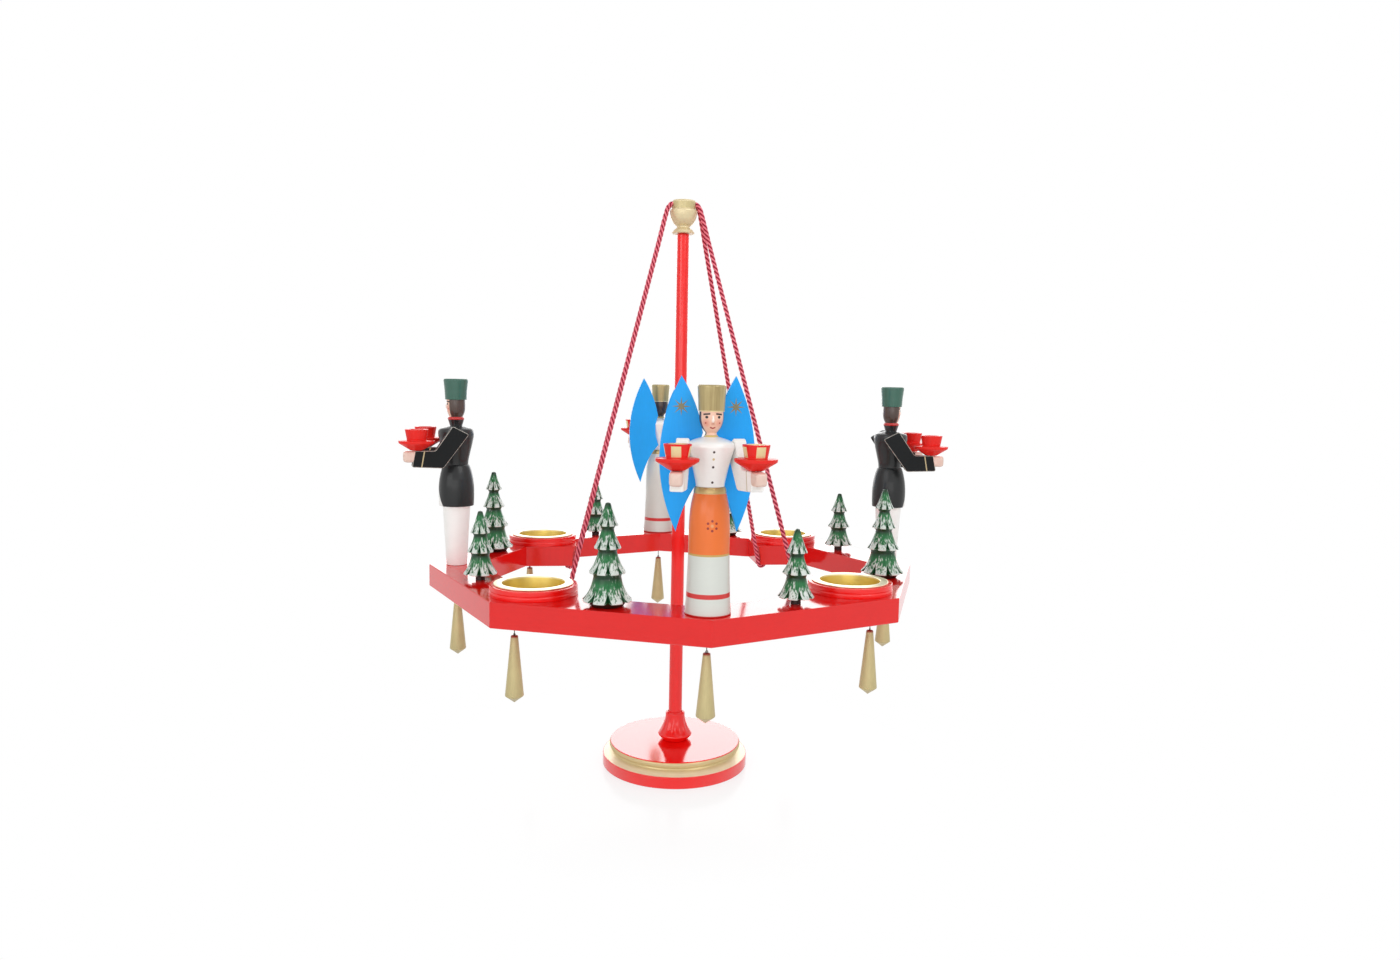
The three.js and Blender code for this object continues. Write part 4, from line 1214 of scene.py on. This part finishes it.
def head_finish(name, rim, hair_from, hair_tone, hat_tone, hat_light, hat_rim, hat_metal, collar):
    """A doll's head: hair behind an angle from the front, a hat above its rim, and a face whose marks
    are placed below the rim: a blush and a dot on each cheek, light on the nose's ridge and shade
    under it, sloping lips, arched brows, and eyes."""
    finish, shader, spot = new_finish(name, 0.36, coat=0.35, coat_roughness=0.1)
    across, height, turn = facing(spot)
    aside = count("ABSOLUTE", across)
    front = stripe_of(turn, -1, hair_from, 2.0)
    hat = stripe_of(height, rim - 0.05, rim + 20)
    blush = dot_at(aside, height, 4.1, rim - 6.6, 1.9, 2.0)
    # Painted highlight along the nose's ridge and painted shade under the nose.
    nose_highlight = both(stripe_of(height, rim - 5.6, rim - 2.2, 1.0), stripe_of(aside, -1, 0.5, 0.6))
    nose_shade = dot_at(aside, height, 0.3, rim - 6.9, 0.7, 0.9)
    slope = count("MULTIPLY_ADD", aside, -0.35, height)
    arch = count("MULTIPLY_ADD", aside, 0.1, height)
    skin = coats(
        SKIN,
        (count("MULTIPLY", blush, 0.55), shade(232, 142, 122)),
        (dot_at(aside, height, 4.1, rim - 6.5, 0.5), shade(184, 94, 74)),
        (nose_highlight, shade(255, 240, 230)),
        (count("MULTIPLY", nose_shade, 0.6), shade(190, 120, 102)),
        (both(stripe_of(slope, rim - 9.95, rim - 9.15), stripe_of(aside, -1, 1.6)), shade(172, 50, 48)),
        (both(stripe_of(arch, rim - 1.5, rim - 0.5), stripe_of(aside, 1.7, 5.4)), shade(44, 22, 18)),
        (dot_at(aside, height, 3.6, rim - 3.1, 0.82), shade(26, 14, 14)),
    )
    hair = layer(cloudy(spot, (1.4, 1.4, 0.2)), hair_tone, shade(84, 62, 52))
    felt = layer(cloudy(spot, (0.5, 0.5, 0.02), 3.0), hat_tone, hat_light)
    felt = layer(stripe_of(height, rim - 1, rim + 0.6), felt, hat_rim)
    bands = [(stripe_of(height, low, high), tone) for low, high, tone in collar]
    paint = coats(hair, (front, skin), *bands, (hat, felt))
    brush(shader, spot, paint, FIBRES, depth=0.14, relief=0.03)
    feed(shader.inputs["Metallic"], count("MULTIPLY", hat, hat_metal))
    return finish


hat_gold = (shade(126, 104, 54), shade(208, 192, 138), shade(236, 218, 168))
hat_green = (shade(36, 84, 68), shade(52, 104, 88), shade(52, 104, 88))
angel_face = head_finish("angel head", ANGEL_RIM, 64, shade(30, 24, 24), *hat_gold, 0.35, [])
miner_collar = [(90, 106.2, BLACK), (106.2, 108.2, shade(196, 40, 38))]
miner_face = head_finish("miner head", MINER_RIM, 52, shade(50, 36, 30), *hat_green, 0.0, miner_collar)
print("head nodes:", len(angel_face.node_tree.nodes))

# %% [markdown]
# ## Sleeves, hands, wings and the miners' clothes
# A sleeve has a fine stripe near its cuff, and on the black ones a light line is painted along the
# sawn edges, which is where the board's depth lies in its chamfer. The wings are blue with a gold
# star of eight rays, drawn with the folded angle. A miner's coat opens at the front over white
# trousers.

# %% Board finishes


def sleeve_finish(name, cloth, cuff, edge_strength):
    """A sleeve: cloth, a cuff stripe and, where the last number is above 0, light paint on the sawn edges."""
    finish, shader, spot = new_finish(name, 0.5, coat=0.05, coat_roughness=0.15, specular=0.1)
    from_cuff, _, depth = parts_of(spot)
    # A light line is painted along the sawn edges, and a noise breaks it.
    edge = stripe_of(count("ABSOLUTE", depth), 3.3, 3.72, 0.1)
    broken_line = cloudy(spot, (0.5, 0.5, 0.5))
    edge_line = count("MULTIPLY", both(edge, broken_line), edge_strength, clamp=True)
    paint = coats(cloth, (stripe_of(from_cuff, 6.2, 7.0, 0.2), cuff), (edge_line, shade(206, 200, 190)))
    brush(shader, spot, paint, BOARD_FIBRES, depth=0.1, relief=0.02)
    return finish


white_sleeve = sleeve_finish("white sleeve", WHITE, shade(186, 174, 138), 0.0)
black_sleeve = sleeve_finish("black sleeve", BLACK, shade(200, 184, 144), 1.3)
skin_paint, shader, spot = new_finish("hand paint", 0.4, coat=0.25, coat_roughness=0.12)
flush = layer(cloudy(spot, (0.25, 0.25, 0.25)), shade(234, 208, 194), shade(222, 188, 174))
brush(shader, spot, flush, BOARD_FIBRES, depth=0.12, relief=0.03)

STAR, RAY = (16.5, 121.5), (5.6, 0.82)
wing_paint, shader, spot = new_finish("blue wing", 0.5, coat=0.1, coat_roughness=0.15, specular=0.3)
lateral, height, depth = parts_of(spot)
off = count("SUBTRACT", lateral, STAR[0])
up = count("SUBTRACT", height, STAR[1])
rays = use(fold, Across=off, Up=up, Half=MITRE)
taper = count("MULTIPLY_ADD", rays["Along"], -RAY[1] / RAY[0], RAY[1])
ray = count("DIVIDE", count("SUBTRACT", taper, rays["Beside"]), 0.15)
star = count("MULTIPLY", count("ADD", ray, 0.5, clamp=True), stripe_of(depth, 2.2, 3.0))
paint = layer(star, shade(18, 166, 250), shade(138, 132, 104))
brush(shader, spot, paint, (1.2, 0.1, 1.2), depth=0.12, relief=0.03)
print("star at", STAR, "with rays of", RAY)

# %% Miner clothes
OPENING_TAPER, OPENING_SPREAD, OPENING_SOFT = -2.6, 161.4, 4.0  # in degrees
coat_paint, shader, spot = new_finish("miner coat", 0.42, coat=0.2, coat_roughness=0.15, specular=0.3)
across, height, turn = facing(spot)
spread = count("MULTIPLY_ADD", height, OPENING_TAPER, OPENING_SPREAD)
opening_mask = count("DIVIDE", count("SUBTRACT", spread, turn), OPENING_SOFT, clamp=True)
paint = coats(BLACK, (opening_mask, WHITE), (stripe_of(height, -1, COAT_HEM, 0.1), WHITE))
brush(shader, spot, paint, RINGS, depth=0.1, relief=0.015)
jacket_paint, shader, spot = new_finish("miner jacket", 0.42, coat=0.4, coat_roughness=0.1, specular=0.3)
brush(shader, spot, BLACK, RINGS, depth=0.2, relief=0.015)
print("coat nodes:", len(coat_paint.node_tree.nodes))

# %% [markdown]
# ## Figures
# A figure is a stack of turnings with arms beside it. The profiles are smooth curves through a few
# heights, broken only where the wood really has an edge: at a hem, a belt and a hat's rim. Each
# figure is made once in its own place, facing out, and set down at its corner of the ring.

# %% Figure profiles
FIGURE_RADIAL = 163.5
SKIRT = stacked(
    eased([(0, 0.1), (13.9, 0.1), (13.8, 1.5)], 0.4),
    flowing([(13.8, 1.5), (13.2, 8), (12.75, 20), (12.2, 36), (12.2, 48)], 6)[1:],
    flowing([(12.2, 48), (11.9, 57), (11.2, 64), (10, 70), (9.6, 71.5)], 6)[1:],
    flowing([(9.6, 71.6), (9.6, 72.6), (9.3, 74.2), (8.8, 75.3)], 4),
    [(0, 75.3)],
)
BODICE = stacked(
    [(0, 75.4), (8.4, 75.4)],
    flowing([(8.4, 75.5), (8.9, 79), (11.5, 90), (13.5, 96.2), (14.1, 98.6)], 6),
    flowing([(14.1, 98.6), (13.4, 100.8), (10.8, 102.4), (4.4, 104.4)], 6)[1:],
    [(3.7, 105.3), (0, 105.3)],
)
ANGEL_HEAD = stacked(
    [(0, 105.4), (3.6, 105.4)],
    flowing([(3.6, 105.5), (3.3, 106.6), (4.9, 108.7), (6.3, 111.3), (7.1, 114.8), (7.1, 118.8)], 6),
    eased([(7.1, 118.9), (7.6, 119), (7.9, 126), (8.5, 133.6), (7.9, 134.5), (0, 134.5)], 0.5),
)
COAT = stacked(
    eased([(0, 0.1), (7.4, 0.1), (7.45, 1)], 0.3),
    flowing([(7.45, 1), (8.4, 20), (9.8, 43.5)], 6)[1:],
    eased([(9.8, 43.6), (12.3, 43.6), (12.4, 45.1)], 0.4),
    flowing([(12.4, 45.1), (12.6, 49.6), (12.5, 57.6), (11.9, 63.6)], 6)[1:],
    flowing([(11.9, 63.6), (10.6, 69.6), (9.3, 73.1), (8.7, 73.6)], 6)[1:],
    [(0, 73.6)],
)
JACKET = stacked(
    [(0, 73.7), (8.5, 73.7)],
    flowing([(8.5, 73.8), (8.8, 77.1), (11.4, 88.6), (12.5, 94.1)], 6),
    flowing([(12.5, 94.1), (12.6, 97.2), (11.8, 99.4), (7, 101.2)], 6)[1:],
    [(4.6, 101.6), (0, 101.6)],
)
MINER_HEAD = stacked(
    [(0, 101.7), (4.3, 101.7)],
    eased([(4.3, 101.8), (5.5, 105.8), (6.1, 107.2), (4.8, 108.6)], 0.6),
    flowing([(4.8, 108.6), (6, 111.4), (6.6, 114.6), (6.7, 120.4)], 6)[1:],
    eased([(6.7, 120.5), (7.7, 120.6), (8.1, 127.6), (8.95, 134.8), (8.4, 135.6), (0, 135.6)], 0.5),
)


def nose(forward, height):
    """A small drop: a ball stretched upwards, set half into the face."""
    ball, faces = rounded(13, 25, 1.0, (0.85, 1.1, 1.5))
    return ball + (0, -forward, height), faces, np.broadcast_to((0.0, -7.0, height), ball.shape)


print("profile points:", len(SKIRT), len(BODICE), len(ANGEL_HEAD), len(COAT), len(JACKET), len(MINER_HEAD))

# %% Set the figures on the ring
CUP_FORWARD, CUP_SEAT = 25.4, 11.3
SIDES = (("left", 1), ("right", -1))


def add_limbs(name, place, waist, lateral, sleeves, cups):
    """Two sleeves with hands, and a cup on each hand."""
    out = CUP_FORWARD - ARM_PIVOT
    for word, side in SIDES:
        arm = f"{name}_arm_{word}"
        slot = "white_lacquer" if sleeves is white_sleeve else "black_lacquer"
        add_piece(arm + "_sleeve", sleeve(waist, lateral, side), sleeves, "carousel", arm, slot, **place)
        fist = hand(waist, lateral, side)
        add_piece(arm + "_hand", fist, skin_paint, "carousel", slot="skin_paint", **place)
        x = side * (lateral + out * math.sin(ARM_SPLAY))
        y = -(ARM_PIVOT + out * math.cos(ARM_SPLAY))
        holder = f"{name}_cup_{word}"
        seated = moved(cup(side), (x, y, waist + CUP_SEAT))
        add_piece(holder + "_turning", seated, cups, "carousel", holder, "red_lacquer", **place)


def add_figure(name, corner, turnings, limbs):
    """The turned pieces (node, form, finish, slot) of a figure and its limbs, at a corner of the ring."""
    place = {"corner": corner, "at": (0, -FIGURE_RADIAL, RING_TOP)}
    for part, form, finish, slot in turnings:
        node = f"{name}_{part}"
        add_piece(node + "_turning", form, finish, "carousel", node, slot, **place)
    add_limbs(name, place, *limbs)
    return place


ANGEL = [
    ("skirt", turned(SKIRT, 96), skirt_paint, "white_lacquer"),
    ("torso", turned(BODICE, 80), bodice_paint, "white_lacquer"),
    ("head", joined(turned(ANGEL_HEAD, 64), nose(6.9, 114.2)), angel_face, "skin_paint"),
]
MINER = [
    ("coat", turned(COAT, 96), coat_paint, "black_lacquer"),
    ("torso", turned(JACKET, 80), jacket_paint, "black_lacquer"),
    ("head", joined(turned(MINER_HEAD, 64), nose(6.4, 115.6)), miner_face, "skin_paint"),
]
ANGEL_LIMBS = (ANGEL_WAIST, ANGEL_SHOULDER, white_sleeve, cup_paint)
MINER_LIMBS = (MINER_WAIST, MINER_SHOULDER, black_sleeve, plain_cup)
for name, corner in (("angel_front", 0), ("angel_back", 4)):
    place = add_figure(name, corner, ANGEL, ANGEL_LIMBS)
    for word, side in SIDES:
        node = f"{name}_wing_{word}"
        add_piece(node + "_board", wing(side), wing_paint, "carousel", node, "blue_paint", **place)
for name, corner in (("miner_right", 2), ("miner_left", 6)):
    add_figure(name, corner, MINER, MINER_LIMBS)

# %% [markdown]
# ## Floor and light
# The holder stands on a plain white floor under soft light. Seen by the camera or in a reflection,
# floor and sky glow at strength 1, which is white, and the floor keeps part of its own shading so
# that the shadow under the base stays. The lamps are large, far and gentle, so that every colour
# renders about as it was mixed.

# %% Floor
floor_mesh = bpy.data.meshes.new("floor")
FLOOR_HALF, FLOOR_DROP = 4.0, 0.0002
SHADOW_REACH, SHADOW_FADE, SHADOW_GLOW = 0.055, 7.0, 0.78
corners = np.array([(-1, -1, 0), (1, -1, 0), (1, 1, 0), (-1, 1, 0)]) * FLOOR_HALF
floor_mesh.from_pydata(corners - (0, 0, FLOOR_DROP), [], [(0, 1, 2, 3)])
floor = bpy.data.objects.new("floor", floor_mesh)
bpy.context.scene.collection.objects.link(floor)


def seen(tree):
    """1 for camera, glossy and transmission rays, 0 for the rays that carry light around."""
    path = tree.nodes.new("ShaderNodeLightPath").outputs
    first = count("MAXIMUM", path["Is Camera Ray"], path["Is Glossy Ray"])
    return count("MAXIMUM", first, path["Is Transmission Ray"])


pale = bpy.data.materials.new("pale floor")
pale.use_nodes = True
tree = pale.node_tree
shader = tree.nodes["Principled BSDF"]
shader.inputs["Base Color"].default_value = shade(240, 239, 238)
shader.inputs["Roughness"].default_value = 0.15
glow = tree.nodes.new("ShaderNodeEmission")
mixed = tree.nodes.new("ShaderNodeMixShader")
spread = tree.nodes.new("ShaderNodeVectorMath")
spread.operation = "LENGTH"
feed(spread.inputs[0], tree.nodes.new("ShaderNodeTexCoord").outputs["Object"])
away = count("SUBTRACT", spread.outputs["Value"], SHADOW_REACH)
away = count("MULTIPLY", away, SHADOW_FADE, clamp=True)
bright = count("MULTIPLY_ADD", count("POWER", away, 0.6), 1 - SHADOW_GLOW, SHADOW_GLOW)
feed(mixed.inputs[0], count("MULTIPLY", seen(tree), bright))
feed(mixed.inputs[1], shader.outputs[0])
feed(mixed.inputs[2], glow.outputs[0])
feed(tree.nodes["Material Output"].inputs[0], mixed.outputs[0])
floor_mesh.materials.append(pale)
print("floor:", 2 * FLOOR_HALF, "m across")

# %% Light
SKY_LEVEL = 0.55
world = bpy.data.worlds.new("studio")
bpy.context.scene.world = world
world.use_nodes = True
tree = world.node_tree
sky = tree.nodes["Background"]
sky.inputs["Color"].default_value = (1, 1, 1, 1)
feed(sky.inputs["Strength"], count("MULTIPLY_ADD", seen(tree), 1 - SKY_LEVEL, SKY_LEVEL))


def add_lamp(name, place, aim, size, watts):
    """A soft lamp of a width and height at a place, its -Z turned to the aim. Only its light shows."""
    light = bpy.data.lights.new(name, "AREA")
    light.shape = "RECTANGLE"
    light.size, light.size_y = size
    light.energy = watts
    lamp = bpy.data.objects.new(name, light)
    lamp.visible_camera = False
    toward = Vector(aim) - Vector(place)
    lamp.matrix_world = Matrix.Translation(place) @ toward.to_track_quat("-Z", "Y").to_matrix().to_4x4()
    bpy.context.scene.collection.objects.link(lamp)


add_lamp("key", (1.8, -2.2, 2.2), (0, 0, 0.2), (1.8, 1.8), 33)
add_lamp("fill", (-2.1, -2.2, 1.2), (0, 0, 0.15), (1.8, 1.8), 21)
add_lamp("front", (-0.3, -3.6, 0.5), (0, 0, 0.15), (2.8, 0.8), 14)
add_lamp("rim", (0.4, 1.4, 1.6), (0, 0, 0.2), (1.1, 1.1), 5)
add_lamp("backdrop", (0.2, 1.7, 0.55), (0.1, 0, 0.4), (2.6, 0.8), 15)
bpy.context.scene.view_settings.view_transform = "Standard"
print("lamps: 5, sky level", SKY_LEVEL)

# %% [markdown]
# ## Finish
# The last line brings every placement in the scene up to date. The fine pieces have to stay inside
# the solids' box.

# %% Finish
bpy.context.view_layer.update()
